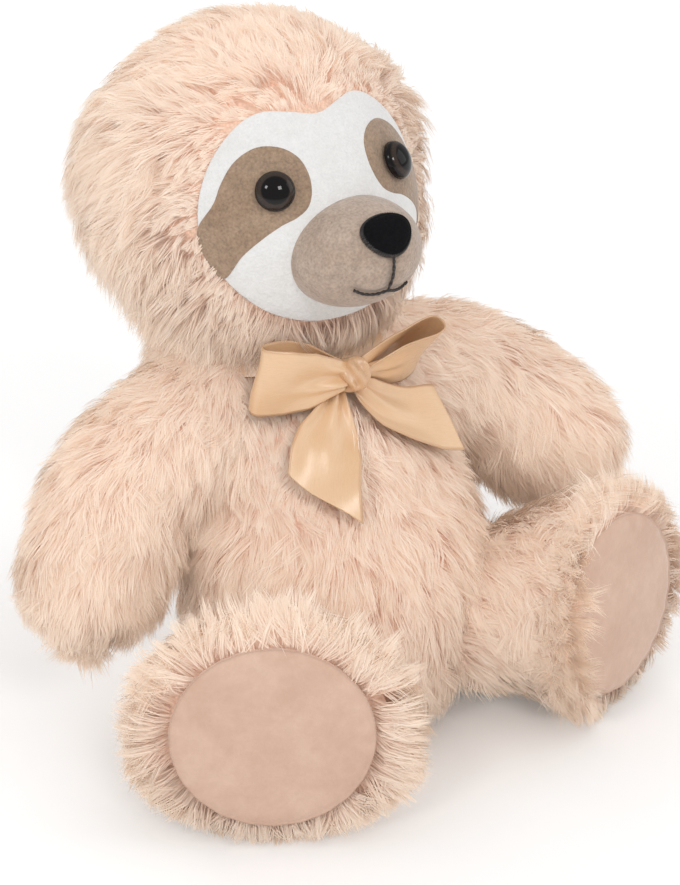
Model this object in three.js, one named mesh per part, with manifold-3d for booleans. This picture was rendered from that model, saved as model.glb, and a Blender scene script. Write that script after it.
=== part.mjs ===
// A sitting plush sloth: furry skins over stuffing, a sewn face with safety eyes, suede soles and a satin bow.
// Millimetres, +Z up. The toy faces -Y and its own left is +X. The origin is the middle of its seat, on the floor.
import * as THREE from "three";
import { ConvexGeometry } from "three/addons/geometries/ConvexGeometry.js";
import { mergeVertices } from "three/addons/utils/BufferGeometryUtils.js";
import Module from "manifold-3d";

// Cloth and fits
const gap = 0.3; // between pieces that touch
const motionGap = 2.2; // between a limb's flank and the torso's fur, which its flat facets narrow
const facetRoom = 0.5; // for flat facets between two curved layers
const thinnest = 1; // radius that a limb's filling keeps at its tip
const backing = 2.7; // knitted backing of the fur, and the face cloth
const pile = 8; // lying fur on the backing
const floorCut = 0.5; // how deep the fur is pressed flat where it meets the floor

// Torso
const torsoHeight = 206; // to the top of the neck, inside the head
const torsoHalfWidth = 71;
const torsoHalfDepth = 69;
const torsoLean = 50; // how far the neck's top sits behind the seat

// Head
const headHeight = 232; // middle of the head above the floor
const headBack = 62; // middle of the head behind the seat
const headLeanDegrees = 19;
const skullHalfWidth = 64;
const skullHalfDepth = 61;
const skullHalfHeight = 61;
const cheekHalfWidth = 52;
const cheekHalfDepth = 50;
const cheekHalfHeight = 48;
const cheekForward = 18;
const cheekDrop = 26;
const neckHeight = 168;
const neckBack = 42;
const neckBallRadius = 34;

// Face
const patchThickness = 1.5;
const muzzleHalfWidth = 28.5;
const muzzleHalfDepth = 30;
const muzzleHalfHeight = 23;
const muzzleForward = 66;
const muzzleDrop = 38;
const noseHalfWidth = 11.2;
const noseHalfHeight = 9.2;
const noseHalfDepth = 4.6;
const noseDrop = 31;
const threadRadius = 0.6;
const eyeRadius = 8.3;
const eyeHeight = 6;
const eyeRim = 0.8;
const shankRadius = 2.4;
const shankLength = 13;
const washerRadius = 7;
const washerThickness = 1.6;
const washerDepth = 6.5; // from the eye's seat back to the washer

// Arms
const shoulderHalfSpan = 52;
const shoulderBack = 34;
const shoulderHeight = 130;
const shoulderBallRadius = 26;
const armRadius = 34;

// Legs
const hipHalfSpan = 46;
const hipForward = 40;
const hipHeight = 44;
const hipBallRadius = 36;
const footOut = 92; // middle of each sole, out from the middle of the toy
const rightFootForward = 88;
const leftFootForward = 86;
const rightFootHeight = 50.5;
const leftFootHeight = 51;
const heelDepth = 14; // behind the sole
const footHalfWidth = 57;
const footHalfHeight = 52;
const soleHalfWidth = 42;
const soleHalfHeight = 42;
const soleThickness = 3;
const soleCrown = 2;
const rimProud = 6; // fur rim in front of the sole's edge
const soleRim = 0.8;

// Ribbon
const ribbonWidth = 31;
const ribbonThickness = 1;
const bandWidth = 8; // the ribbon gathered round the neck
const bandHeight = 160;
const bandRise = 5; // the band is higher in front than at the nape
const knotHeight = 161;
const knotForward = 13;
const knotHalfWidth = 8;
const knotHalfHeight = 10;
const knotHalfDepth = 10;
const leftLoopLength = 50;
const rightLoopLength = 42;
const leftLoopOpening = 15; // between the loop's two layers
const rightLoopOpening = 8;
const leftTailDrop = 43; // from the knot's middle to the middle of the tail's end
const rightTailDrop = 50;
const leftTailLift = 11; // off the fur
const rightTailLift = 7;

const up = new THREE.Vector3(0, 0, 1);
const wasm = await Module();
wasm.setup();

// Solids and meshes

function solid(geometry, matrix) {
  const plain = geometry.clone();
  plain.deleteAttribute("normal");
  plain.deleteAttribute("uv");
  if (matrix) plain.applyMatrix4(matrix);
  const merged = mergeVertices(plain);
  return new wasm.Manifold(
    new wasm.Mesh({
      numProp: 3,
      vertProperties: merged.attributes.position.array,
      triVerts: new Uint32Array(merged.index.array),
    }),
  );
}

function geometryOf(made) {
  const mesh = made.getMesh();
  const geometry = new THREE.BufferGeometry();
  geometry.setAttribute("position", new THREE.BufferAttribute(new Float32Array(mesh.vertProperties), 3));
  geometry.setIndex(new THREE.BufferAttribute(new Uint32Array(mesh.triVerts), 1));
  geometry.computeVertexNormals();
  return geometry;
}

function piece(parent, name, made, material) {
  const mesh = new THREE.Mesh(made.isBufferGeometry ? made : geometryOf(made), material);
  mesh.name = name;
  parent.add(mesh);
  return mesh;
}

// A closed surface over rings of points, which run anticlockwise round the way from one pole to the other.
function closedLoft(firstPole, rings, lastPole) {
  const around = rings[0].length;
  const points = [firstPole, ...rings.flat(), lastPole];
  const at = (ring, step) => 1 + ring * around + (step % around);
  const index = [];
  for (let step = 0; step < around; step++) {
    index.push(0, at(0, step + 1), at(0, step));
    for (let ring = 0; ring + 1 < rings.length; ring++) {
      index.push(at(ring, step), at(ring, step + 1), at(ring + 1, step));
      index.push(at(ring, step + 1), at(ring + 1, step + 1), at(ring + 1, step));
    }
    index.push(points.length - 1, at(rings.length - 1, step), at(rings.length - 1, step + 1));
  }
  return new THREE.BufferGeometry().setFromPoints(points).setIndex(index);
}

// A ring-shaped surface: each section is a closed loop of corners, and the last section joins the first.
function closedRing(sections) {
  const corners = sections[0].length;
  const at = (section, corner) => (section % sections.length) * corners + (corner % corners);
  const index = [];
  sections.forEach((_, section) => {
    for (let corner = 0; corner < corners; corner++) {
      index.push(at(section, corner), at(section, corner + 1), at(section + 1, corner));
      index.push(at(section, corner + 1), at(section + 1, corner + 1), at(section + 1, corner));
    }
  });
  return new THREE.BufferGeometry().setFromPoints(sections.flat()).setIndex(index);
}

// A ball on a joint's pivot, with its poles on the joint's axis
const ballSides = 16;

function ballAt(joint, radius) {
  const turn = new THREE.Quaternion().setFromUnitVectors(new THREE.Vector3(0, 1, 0), joint.axis);
  const place = new THREE.Matrix4().compose(joint.pivot, turn, new THREE.Vector3(1, 1, 1));
  return new THREE.SphereGeometry(radius, ballSides, ballSides / 2).applyMatrix4(place);
}

// The socket's flats clear the ball's corners when the ball turns in it.
function socketAt(joint, radius) {
  return ballAt(joint, (radius + gap) / Math.cos(Math.PI / ballSides));
}

function ellipsoid(halfWidth, halfDepth, halfHeight, grow = 0, sides = 24) {
  return new THREE.SphereGeometry(1, sides, sides / 2).scale(halfWidth + grow, halfDepth + grow, halfHeight + grow);
}

function turnAbout(pivot, axis, angle) {
  const back = new THREE.Matrix4().makeTranslation(pivot.clone().negate());
  const turn = new THREE.Matrix4().makeRotationAxis(axis, angle);
  return new THREE.Matrix4().makeTranslation(pivot).multiply(turn).multiply(back);
}

// A smooth value between the rows of a table whose first column rises.
function smooth(table, x, column) {
  let row = table.findIndex((entry) => entry[0] >= x);
  if (row < 0) row = table.length - 1;
  row = Math.max(1, row);
  const [a, b] = [table[row - 1], table[row]];
  const before = table[Math.max(0, row - 2)];
  const after = table[Math.min(table.length - 1, row + 1)];
  const slopeA = (b[column] - before[column]) / (b[0] - before[0]);
  const slopeB = (after[column] - a[column]) / (after[0] - a[0]);
  const step = b[0] - a[0];
  const t = Math.min(1, Math.max(0, (x - a[0]) / step));
  const rise = slopeA * step * (t ** 3 - 2 * t ** 2 + t) + slopeB * step * (t ** 3 - t ** 2);
  return a[column] * (1 - 3 * t ** 2 + 2 * t ** 3) + b[column] * (3 * t ** 2 - 2 * t ** 3) + rise;
}

// Torso: level oval rings whose width, depth and lean follow the height

const torsoShares = [
  // height, half width, half depth, lean
  [0, 0.6, 0.6, 0],
  [0.05, 0.82, 0.82, 0],
  [0.14, 0.95, 0.95, 0],
  [0.3, 1, 1, 0.01],
  [0.42, 0.985, 0.985, 0.12],
  [0.55, 0.88, 0.87, 0.38],
  [0.66, 0.76, 0.74, 0.61],
  [0.76, 0.62, 0.62, 0.78],
  [0.84, 0.49, 0.5, 0.87],
  [0.92, 0.43, 0.43, 0.94],
  [1, 0.41, 0.41, 1],
];
const torsoRingShares = [0, 0.04, 0.12, 0.24, 0.38, 0.5, 0.61, 0.71, 0.8, 0.88, 1];
const innerRingShares = [0, 0.12, 0.32, 0.54, 0.72, 1];

function torsoPoint(height, angle, grow) {
  const share = height / torsoHeight;
  return new THREE.Vector3(
    (torsoHalfWidth * smooth(torsoShares, share, 1) + grow) * Math.cos(angle),
    torsoLean * smooth(torsoShares, share, 3) + (torsoHalfDepth * smooth(torsoShares, share, 2) + grow) * Math.sin(angle),
    height,
  );
}

function torsoLoft(grow, from, to, around = 24, ringShares = torsoRingShares) {
  const rings = ringShares.map((share) => {
    const height = from + (to - from) * share;
    return Array.from({ length: around }, (_, step) => torsoPoint(height, (2 * Math.PI * step) / around, grow));
  });
  const middle = (height) => new THREE.Vector3(0, torsoLean * smooth(torsoShares, height / torsoHeight, 3), height);
  return closedLoft(middle(from), rings, middle(to));
}

// Head: the hide's distance from the middle is a sixth-power sum of two ovals, the skull and the cheeks

const headMiddle = new THREE.Vector3(0, headBack, headHeight);
const headLean = THREE.MathUtils.degToRad(headLeanDegrees);
const headPlace = new THREE.Matrix4().makeRotationX(-headLean).setPosition(headMiddle);
const skull = {
  middle: new THREE.Vector3(0, 0, 0),
  half: new THREE.Vector3(skullHalfWidth, skullHalfDepth, skullHalfHeight),
};
const cheeks = {
  middle: new THREE.Vector3(0, -cheekForward, -cheekDrop),
  half: new THREE.Vector3(cheekHalfWidth, cheekHalfDepth, cheekHalfHeight),
};
const blendPower = 6;

function reachOf(oval, direction) {
  const way = direction.clone().divide(oval.half);
  const start = oval.middle.clone().divide(oval.half).negate();
  const along = way.dot(start);
  return (-along + Math.sqrt(along ** 2 - way.lengthSq() * (start.lengthSq() - 1))) / way.lengthSq();
}

function hideRadius(direction) {
  return (reachOf(skull, direction) ** blendPower + reachOf(cheeks, direction) ** blendPower) ** (1 / blendPower);
}

// A direction from the head's middle: turn is sideways from straight ahead, and rise is above it, in degrees.
function facing(turn, rise) {
  const [t, r] = [THREE.MathUtils.degToRad(turn), THREE.MathUtils.degToRad(rise)];
  return new THREE.Vector3(Math.sin(t) * Math.cos(r), -Math.cos(t) * Math.cos(r), Math.sin(r));
}

// Straight out of the hide at a place given in degrees
function hideNormal(turn, rise) {
  const at = (t, r) => {
    const direction = facing(t, r);
    return direction.multiplyScalar(hideRadius(direction));
  };
  const across = at(turn + 1, rise).sub(at(turn - 1, rise));
  const upward = at(turn, rise + 1).sub(at(turn, rise - 1));
  return across.cross(upward).normalize();
}

const faceMiddleTurn = 0;
const faceMiddleRise = -16;
const faceAxis = facing(faceMiddleTurn, faceMiddleRise);
const shortPileShare = 0.15; // the fur is clipped short beside the face
const shortPileDegrees = 50;
const fullPileDegrees = 82;

function pileAt(direction) {
  const away = THREE.MathUtils.radToDeg(direction.angleTo(faceAxis));
  const share = THREE.MathUtils.smoothstep(away, shortPileDegrees, fullPileDegrees);
  return pile * (shortPileShare + (1 - shortPileShare) * share);
}

// The fur's surface, and the furthest that it reaches while the head turns on the neck
const coatRadius = (direction) => hideRadius(direction) + pileAt(direction);

function turnedCoatRadius(direction) {
  const axis = neck.axis.clone().transformDirection(headPlace.clone().invert());
  const turns = Array.from({ length: 9 }, (_, step) => (neck.reach * (step - 4)) / 4);
  return Math.max(
    ...turns.map((degrees) =>
      coatRadius(direction.clone().applyAxisAngle(axis, THREE.MathUtils.degToRad(degrees))),
    ),
  );
}

function headLoft(radiusAt, around = 24, down = 12) {
  const place = (direction) => direction.clone().multiplyScalar(radiusAt(direction));
  const rings = [];
  for (let level = 1; level < down; level++) {
    const fromBottom = (Math.PI * level) / down;
    rings.push(
      Array.from({ length: around }, (_, step) => {
        const round = (2 * Math.PI * step) / around;
        const flat = Math.sin(fromBottom);
        return place(new THREE.Vector3(flat * Math.cos(round), flat * Math.sin(round), -Math.cos(fromBottom)));
      }),
    );
  }
  return closedLoft(place(up.clone().negate()), rings, place(up));
}

// Outlines on the face, in degrees of turn and rise. The toy's left half is written, and the right one mirrors it.
const faceHalfDegrees = [
  [0, 18.5],
  [12, 21.5],
  [22, 23.5],
  [31, 21.5],
  [40, 15],
  [47, 6.5],
  [52, -4],
  [54, -14],
  [53, -23],
  [49, -31],
  [43, -39],
  [34, -46],
  [19, -51.5],
  [0, -53],
];
const patchDegrees = [
  [51, -23.5],
  [46.5, -28.5],
  [40, -24],
  [32, -19.5],
  [25, -16.5],
  [19.5, -15],
  [15, -12.5],
  [12.5, -8],
  [12, -2],
  [14, 4],
  [19, 8.5],
  [26, 10.5],
  [32, 9.5],
  [38, 6],
  [43, 0],
  [47, -6.5],
  [52.5, -15],
];
const patchMiddleDegrees = [30, -7];
const eyeDegrees = [25, -5.8];

const mirrored = faceHalfDegrees.slice(1, -1).map(([turn, rise]) => [-turn, rise]);
const faceDegrees = [...faceHalfDegrees, ...mirrored.reverse()];

function sampled(outline, count) {
  const curve = new THREE.CatmullRomCurve3(
    outline.map(([turn, rise]) => new THREE.Vector3(turn, rise, 0)),
    true,
    "catmullrom",
    0.5,
  );
  return curve.getSpacedPoints(count).slice(0, count);
}

// Cloth on the head between two offsets from the hide, inside an outline that is filled from its middle.
function faceLayer(outline, middle, from, to, count, ringCount, side = 1) {
  const points = sampled(outline, count).reverse();
  const placed = (share, edge, offset) => {
    const turn = middle[0] + (edge.x - middle[0]) * share;
    const rise = middle[1] + (edge.y - middle[1]) * share;
    const direction = facing(side * turn, rise);
    return direction.multiplyScalar(hideRadius(direction) + offset);
  };
  const shares = Array.from({ length: ringCount }, (_, ring) => (ring + 1) / ringCount);
  const ordered = side > 0 ? points : points.slice().reverse();
  const ringsAt = (offset) => shares.map((share) => ordered.map((edge) => placed(share, edge, offset)));
  const pole = (offset) => placed(0, ordered[0], offset);
  return closedLoft(pole(from), [...ringsAt(from), ...ringsAt(to).reverse()], pole(to));
}

// A wedge from inside the head out past its fur, for the opening that the face fills.
function faceOpening(count) {
  const edges = sampled(faceDegrees, count).reverse();
  const grow = 1 + gap / skullHalfWidth;
  const innerShare = 0.6;
  const outerShare = 1.4;
  const ring = (share) =>
    edges.map((edge) => {
      const turn = faceMiddleTurn + (edge.x - faceMiddleTurn) * grow;
      const rise = faceMiddleRise + (edge.y - faceMiddleRise) * grow;
      const direction = facing(turn, rise);
      return direction.multiplyScalar(hideRadius(direction) * share);
    });
  const pole = (share) => faceAxis.clone().multiplyScalar(hideRadius(faceAxis) * share);
  return closedLoft(pole(innerShare), [ring(innerShare), ring(outerShare)], pole(outerShare));
}

// Limbs: oval rings along a curved middle line

function limbLoft(path, shares, halfWide, halfTall, inset, endInset, around, ringCount) {
  const length = path.getLength();
  const last = 1 - endInset / length;
  const ringAt = (share, along) => {
    const middle = path.getPointAt(along);
    const tangent = path.getTangentAt(along);
    const tall = up.clone().addScaledVector(tangent, -up.dot(tangent)).normalize();
    const wide = new THREE.Vector3().crossVectors(tall, tangent);
    const halfA = Math.max(halfWide * smooth(shares, share, 1) - inset, thinnest);
    const halfB = Math.max(halfTall * smooth(shares, share, 2) - inset, thinnest);
    return Array.from({ length: around }, (_, step) => {
      const angle = (2 * Math.PI * step) / around;
      return middle
        .clone()
        .addScaledVector(wide, halfA * Math.cos(angle))
        .addScaledVector(tall, halfB * Math.sin(angle));
    });
  };
  const rings = [];
  for (let ring = 0; ring <= ringCount; ring++) {
    const share = Math.sin((Math.PI / 2) * (ring / ringCount));
    rings.push(ringAt(share, share * last));
  }
  return closedLoft(path.getPointAt(0), rings, path.getPointAt(last));
}

function curveThrough(points) {
  return new THREE.CatmullRomCurve3(points, false, "centripetal");
}

const armShares = [
  // along, half wide, half tall
  [0, 0.7, 0.7],
  [0.2, 0.8, 0.76],
  [0.42, 0.97, 0.97],
  [0.62, 1, 1],
  [0.78, 0.98, 0.98],
  [0.88, 0.84, 0.84],
  [0.95, 0.58, 0.58],
  [0.985, 0.32, 0.32],
  [1, 0.06, 0.06],
];
const legShares = [
  // along, half wide, half tall
  [0, 0.56, 0.6],
  [0.3, 0.62, 0.66],
  [0.5, 0.68, 0.76],
  [0.7, 0.82, 0.88],
  [0.83, 0.96, 0.97],
  [0.92, 1, 1],
  [0.97, 0.95, 0.95],
  [1, 0.86, 0.86],
];

// Elbow, wrist and paw of each arm, as shares of the torso's half width, half depth and height
const armPlaceShares = {
  right: [
    [1.18, 0.43, 0.563],
    [1.52, 0.32, 0.427],
    [1.76, 0.17, 0.272],
  ],
  left: [
    [1.18, 0.32, 0.592],
    [1.52, 0.06, 0.505],
    [1.96, -0.36, 0.35],
  ],
};
const feet = {
  right: { forward: rightFootForward, height: rightFootHeight, outwardDegrees: 33, tiltDegrees: 4 },
  left: { forward: leftFootForward, height: leftFootHeight, outwardDegrees: 17, tiltDegrees: 6 },
};

const shoulderAt = (side) => new THREE.Vector3(side * shoulderHalfSpan, shoulderBack, shoulderHeight);
const hipAt = (side) => new THREE.Vector3(side * hipHalfSpan, -hipForward, hipHeight);

function armPath(side, placeShares) {
  const shoulder = shoulderAt(side);
  const [elbow, wrist, paw] = placeShares.map(
    ([out, back, rise]) => new THREE.Vector3(side * out * torsoHalfWidth, back * torsoHalfDepth, rise * torsoHeight),
  );
  const inward = shoulder.clone().sub(elbow).setLength(shoulderBallRadius);
  return curveThrough([shoulder.clone().add(inward), shoulder, elbow, wrist, paw]);
}

function soleOf(side, foot) {
  const [out, tilt] = [foot.outwardDegrees, foot.tiltDegrees].map(THREE.MathUtils.degToRad);
  const normal = new THREE.Vector3(side * Math.sin(out) * Math.cos(tilt), -Math.cos(out) * Math.cos(tilt), Math.sin(tilt));
  return { middle: new THREE.Vector3(side * footOut, -foot.forward, foot.height), normal };
}

function legPath(side, foot) {
  const hip = hipAt(side);
  const sole = soleOf(side, foot);
  const heel = sole.middle.clone().addScaledVector(sole.normal, -heelDepth);
  const inward = hip.clone().sub(heel).setLength(hipBallRadius);
  const front = sole.middle.clone().addScaledVector(sole.normal, rimProud);
  return curveThrough([hip.clone().add(inward), hip, heel, front]);
}

// Joints: how far each swings, in degrees, about its pivot
const neck = {
  pivot: new THREE.Vector3(0, neckBack, neckHeight),
  axis: headMiddle.clone().sub(new THREE.Vector3(0, neckBack, neckHeight)).normalize(),
  reach: 25,
};

function shoulderJoint(side) {
  const reach = side > 0 ? 40 : 45;
  return { pivot: shoulderAt(side), axis: new THREE.Vector3(0, -side, 0), reach, steps: 4 };
}

function hipJoint(side) {
  const out = new THREE.Vector3(side, -1, 0).normalize();
  return { pivot: hipAt(side), axis: new THREE.Vector3().crossVectors(out, up), reach: 12, steps: 1 };
}

// The torso below the neck as a limb sees it at one step of its swing
function turnedTorso(joint, step) {
  const body = torsoLoft(motionGap, -floorCut, neckHeight, 16);
  const angle = THREE.MathUtils.degToRad((joint.reach * step) / joint.steps);
  const places = body.applyMatrix4(turnAbout(joint.pivot, joint.axis, -angle)).getAttribute("position");
  return Array.from({ length: places.count }, (_, index) => new THREE.Vector3().fromBufferAttribute(places, index));
}

// A limb cut clear of the torso over its whole swing, and the ball at its root put back
function fitRoot(limb, joint, ballRadius) {
  let left = limb;
  for (let step = 0; step < joint.steps; step++) {
    const swept = new ConvexGeometry([...turnedTorso(joint, step), ...turnedTorso(joint, step + 1)]);
    left = left.subtract(solid(swept));
  }
  return left.add(limb.intersect(solid(ballAt(joint, ballRadius))));
}

// Materials
const cloth = (color, roughness = 0.9) => new THREE.MeshStandardMaterial({ color, roughness, metalness: 0 });
const fur = cloth(0xeccfb4, 0.95);
const whiteMinky = cloth(0xf2f0ee);
const taupeMinky = cloth(0xa18b76);
const muzzleMinky = cloth(0xb29f90);
const suede = cloth(0xdab6a0);
const satin = cloth(0xefd1b5, 0.35);
const blackVelour = cloth(0x14151a, 0.7);
const blackThread = cloth(0x1a1a1c, 0.6);
const eyePlastic = cloth(0x120c09, 0.12);
const washerPlastic = cloth(0xe8e8e4, 0.4);
const stuffing = cloth(0xf7f7f5, 1);

const sloth = new THREE.Group();
const headGroup = new THREE.Group();
headGroup.position.copy(headMiddle);
headGroup.rotation.x = -headLean;
sloth.add(headGroup);

// Everything below the floor cut is pressed away
const blockSide = 2 * torsoHeight;
const floorBlock = solid(new THREE.BoxGeometry(blockSide, blockSide, blockSide).translate(0, 0, -blockSide / 2));

function buildTorso() {
  const wall = backing + pile;
  const neckBall = solid(ballAt(neck, neckBallRadius));
  const headRoom = solid(headLoft((direction) => turnedCoatRadius(direction) + motionGap, 20, 10), headPlace);
  const sockets = [1, -1].flatMap((side) => [
    solid(socketAt(shoulderJoint(side), shoulderBallRadius)),
    solid(socketAt(hipJoint(side), hipBallRadius)),
  ]);
  const shaped = (geometry) => {
    const whole = solid(geometry);
    const fitted = whole.subtract(headRoom).add(whole.intersect(neckBall));
    return sockets.reduce((left, socket) => left.subtract(socket), fitted).subtract(floorBlock);
  };
  const inner = (inset, from, to) => torsoLoft(-inset, from, to, 16, innerRingShares);
  const hollow = solid(inner(wall, wall, torsoHeight + gap));
  piece(sloth, "torso_skin", shaped(torsoLoft(0, -floorCut, torsoHeight)).subtract(hollow), fur);
  piece(sloth, "torso_stuffing", shaped(inner(wall + gap, wall + gap, torsoHeight)), stuffing);
}

function buildHead() {
  const toHead = headPlace.clone().invert();
  const neckSocket = solid(socketAt(neck, neckBallRadius), toHead);
  const inner = (inset) => solid(headLoft((direction) => hideRadius(direction) - inset, 20, 10));
  const skin = solid(headLoft(coatRadius)).subtract(inner(backing + facetRoom - gap)).subtract(neckSocket);
  piece(headGroup, "head_skin", skin.subtract(solid(faceOpening(32))), fur);

  const filling = inner(backing + facetRoom).subtract(neckSocket);
  const faceMiddle = [faceMiddleTurn, faceMiddleRise];
  const panel = solid(faceLayer(faceDegrees, faceMiddle, -backing, 0, 32, 5));
  const eyes = [1, -1].map((side) => eyePieces(side));
  const seated = (made) => eyes.reduce((left, eye) => left.subtract(eye.clearance), made);
  piece(headGroup, "face_panel", seated(panel), whiteMinky);
  piece(headGroup, "head_stuffing", seated(filling), stuffing);

  [1, -1].forEach((side, which) => {
    const word = side > 0 ? "left" : "right";
    const patch = solid(faceLayer(patchDegrees, patchMiddleDegrees, gap, gap + patchThickness, 24, 3, side));
    piece(headGroup, "eye_patch_" + word, patch.subtract(eyes[which].clearance), taupeMinky);
    piece(headGroup, "eye_" + word, eyes[which].eye, eyePlastic);
    piece(headGroup, "eye_washer_" + word, eyes[which].washer, washerPlastic);
  });
  buildMuzzle();
}

// A safety eye: a domed head with a rim, a shank through the cloth and a washer behind it.
function eyePieces(side) {
  const direction = facing(side * eyeDegrees[0], eyeDegrees[1]);
  const outward = hideNormal(side * eyeDegrees[0], eyeDegrees[1]);
  const seat = direction.clone().multiplyScalar(hideRadius(direction)).addScaledVector(outward, 2 * gap + patchThickness);
  const turn = new THREE.Quaternion().setFromUnitVectors(new THREE.Vector3(0, 1, 0), outward);
  const place = new THREE.Matrix4().compose(seat, turn, new THREE.Vector3(1, 1, 1));
  const profile = [
    new THREE.Vector2(0, -shankLength),
    new THREE.Vector2(shankRadius, -shankLength),
    new THREE.Vector2(shankRadius, 0),
    new THREE.Vector2(eyeRadius, 0),
  ];
  const domeSteps = 4;
  for (let step = 0; step < domeSteps; step++) {
    const angle = (Math.PI / 2) * (step / domeSteps);
    profile.push(new THREE.Vector2(eyeRadius * Math.cos(angle), eyeRim + (eyeHeight - eyeRim) * Math.sin(angle)));
  }
  profile.push(new THREE.Vector2(0, eyeHeight));
  const disc = (radius, thickness, sides) => new THREE.CylinderGeometry(radius, radius, thickness, sides);
  const washerBody = (grow) =>
    disc(washerRadius + grow, washerThickness + 2 * grow, 14).translate(0, -washerDepth - washerThickness / 2, 0);
  const bore = solid(disc((shankRadius + gap) / Math.cos(Math.PI / 8), 2 * shankLength + gap, 8), place);
  const washer = solid(washerBody(0), place).subtract(bore);
  const eye = solid(new THREE.LatheGeometry(profile, 16), place);
  return { eye, washer, clearance: bore.add(solid(washerBody(gap), place)) };
}

const muzzleMiddle = new THREE.Vector3(0, -muzzleForward, -muzzleDrop);

// How far the muzzle reaches ahead at a place across and up from its middle
function muzzleFront(across, rise) {
  const flat = 1 - (across / muzzleHalfWidth) ** 2 - (rise / muzzleHalfHeight) ** 2;
  return muzzleHalfDepth * Math.sqrt(Math.max(0, flat));
}

function buildMuzzle() {
  const muzzleAt = (grow) =>
    solid(
      ellipsoid(muzzleHalfWidth, muzzleHalfDepth, muzzleHalfHeight, grow).translate(
        muzzleMiddle.x,
        muzzleMiddle.y,
        muzzleMiddle.z,
      ),
    );
  const face = solid(headLoft((direction) => hideRadius(direction) + gap + facetRoom / 2, 60, 30));
  const patchRoom = (side) =>
    solid(faceLayer(patchDegrees, patchMiddleDegrees, -gap, 2 * gap + patchThickness, 24, 3, side));
  const muzzle = muzzleAt(0).subtract(face).subtract(patchRoom(1)).subtract(patchRoom(-1));
  piece(headGroup, "muzzle", muzzle, muzzleMinky);

  const noseRise = muzzleDrop - noseDrop;
  const noseTilt = Math.atan2(noseRise * muzzleHalfDepth ** 2, muzzleHalfHeight ** 2 * muzzleFront(0, noseRise));
  const nose = ellipsoid(noseHalfWidth, noseHalfDepth, noseHalfHeight, 0, 18)
    .rotateX(-noseTilt)
    .translate(0, muzzleMiddle.y - muzzleFront(0, noseRise), -noseDrop);
  piece(headGroup, "nose", solid(nose).subtract(muzzleAt(gap)), blackVelour);

  // The mouth is one thread: down from the nose, and a smile that curves up at both ends.
  const cornerShares = [
    // across the muzzle, and down from its middle
    [-0.62, 0.42],
    [-0.42, 0.64],
    [-0.2, 0.75],
    [0, 0.7],
    [0.2, 0.75],
    [0.42, 0.64],
    [0.62, 0.42],
  ];
  const onMuzzle = (across, drop) => {
    const lift = threadRadius + 2 * gap;
    const point = new THREE.Vector3(across, -muzzleFront(across, drop), -drop);
    const outward = point.clone();
    outward.divide(new THREE.Vector3(muzzleHalfWidth ** 2, muzzleHalfDepth ** 2, muzzleHalfHeight ** 2)).normalize();
    return point.addScaledVector(outward, lift).add(muzzleMiddle);
  };
  const smile = cornerShares.map(([across, drop]) => onMuzzle(across * muzzleHalfWidth, drop * muzzleHalfHeight));
  const stemTopShare = 0.22;
  const stem = [stemTopShare, 0.46, 0.7].map((drop) => onMuzzle(0, drop * muzzleHalfHeight));
  const section = new THREE.Shape().absarc(0, 0, threadRadius, 0, 2 * Math.PI);
  const thread = (points, steps) =>
    solid(new THREE.ExtrudeGeometry(section, { steps, extrudePath: curveThrough(points), curveSegments: 3 }));
  piece(headGroup, "mouth_stitching", thread(smile, 14).add(thread(stem, 4)), blackThread);
}

// The room of a lifting leg, which the paw behind it is pressed flat by
function legRoom(side, foot) {
  const joint = hipJoint(side);
  const steps = 3;
  const rooms = Array.from({ length: steps }, (_, step) => {
    const angle = THREE.MathUtils.degToRad((joint.reach * step) / (steps - 1));
    const leg = limbLoft(legPath(side, foot), legShares, footHalfWidth, footHalfHeight, -motionGap, 0, 22, 9);
    return solid(leg, turnAbout(joint.pivot, joint.axis, angle));
  });
  return rooms.reduce((joined, room) => joined.add(room));
}

function buildArm(side, word) {
  const joint = shoulderJoint(side);
  const path = armPath(side, armPlaceShares[word]);
  const loft = (inset, around, ringCount) =>
    solid(limbLoft(path, armShares, armRadius, armRadius, inset, inset, around, ringCount));
  const fitted = (limb) => fitRoot(limb, joint, shoulderBallRadius).subtract(legRoom(side, feet[word]));
  const wall = backing + pile;
  piece(sloth, `arm_${word}_skin`, fitted(loft(0, 18, 9)).subtract(loft(wall, 12, 7)), fur);
  piece(sloth, `arm_${word}_stuffing`, fitted(loft(wall + gap, 12, 7)), stuffing);
}

function buildLeg(side, word, foot) {
  const joint = hipJoint(side);
  const path = legPath(side, foot);
  const sole = soleOf(side, foot);
  const loft = (inset, endInset, around, ringCount) =>
    solid(limbLoft(path, legShares, footHalfWidth, footHalfHeight, inset, endInset, around, ringCount));
  const fitted = (limb) => fitRoot(limb, joint, hipBallRadius).subtract(floorBlock);
  const facingSole = new THREE.Quaternion().setFromRotationMatrix(
    new THREE.Matrix4().lookAt(sole.normal, new THREE.Vector3(), up),
  );
  const place = new THREE.Matrix4().compose(sole.middle, facingSole, new THREE.Vector3(1, 1, 1));
  const recess = solid(solePad(gap, soleThickness + gap, soleHalfHeight, 0), place);
  const wall = backing + pile;
  const hollow = loft(wall, rimProud, 14, 7);
  piece(sloth, `leg_${word}_skin`, fitted(loft(0, 0, 22, 9)).subtract(hollow).subtract(recess), fur);
  piece(sloth, `leg_${word}_stuffing`, fitted(loft(wall + gap, rimProud, 14, 7)).subtract(recess), stuffing);
  piece(sloth, `sole_${word}`, solid(solePad(0, soleThickness, 0, soleCrown), place), suede);
}

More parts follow.
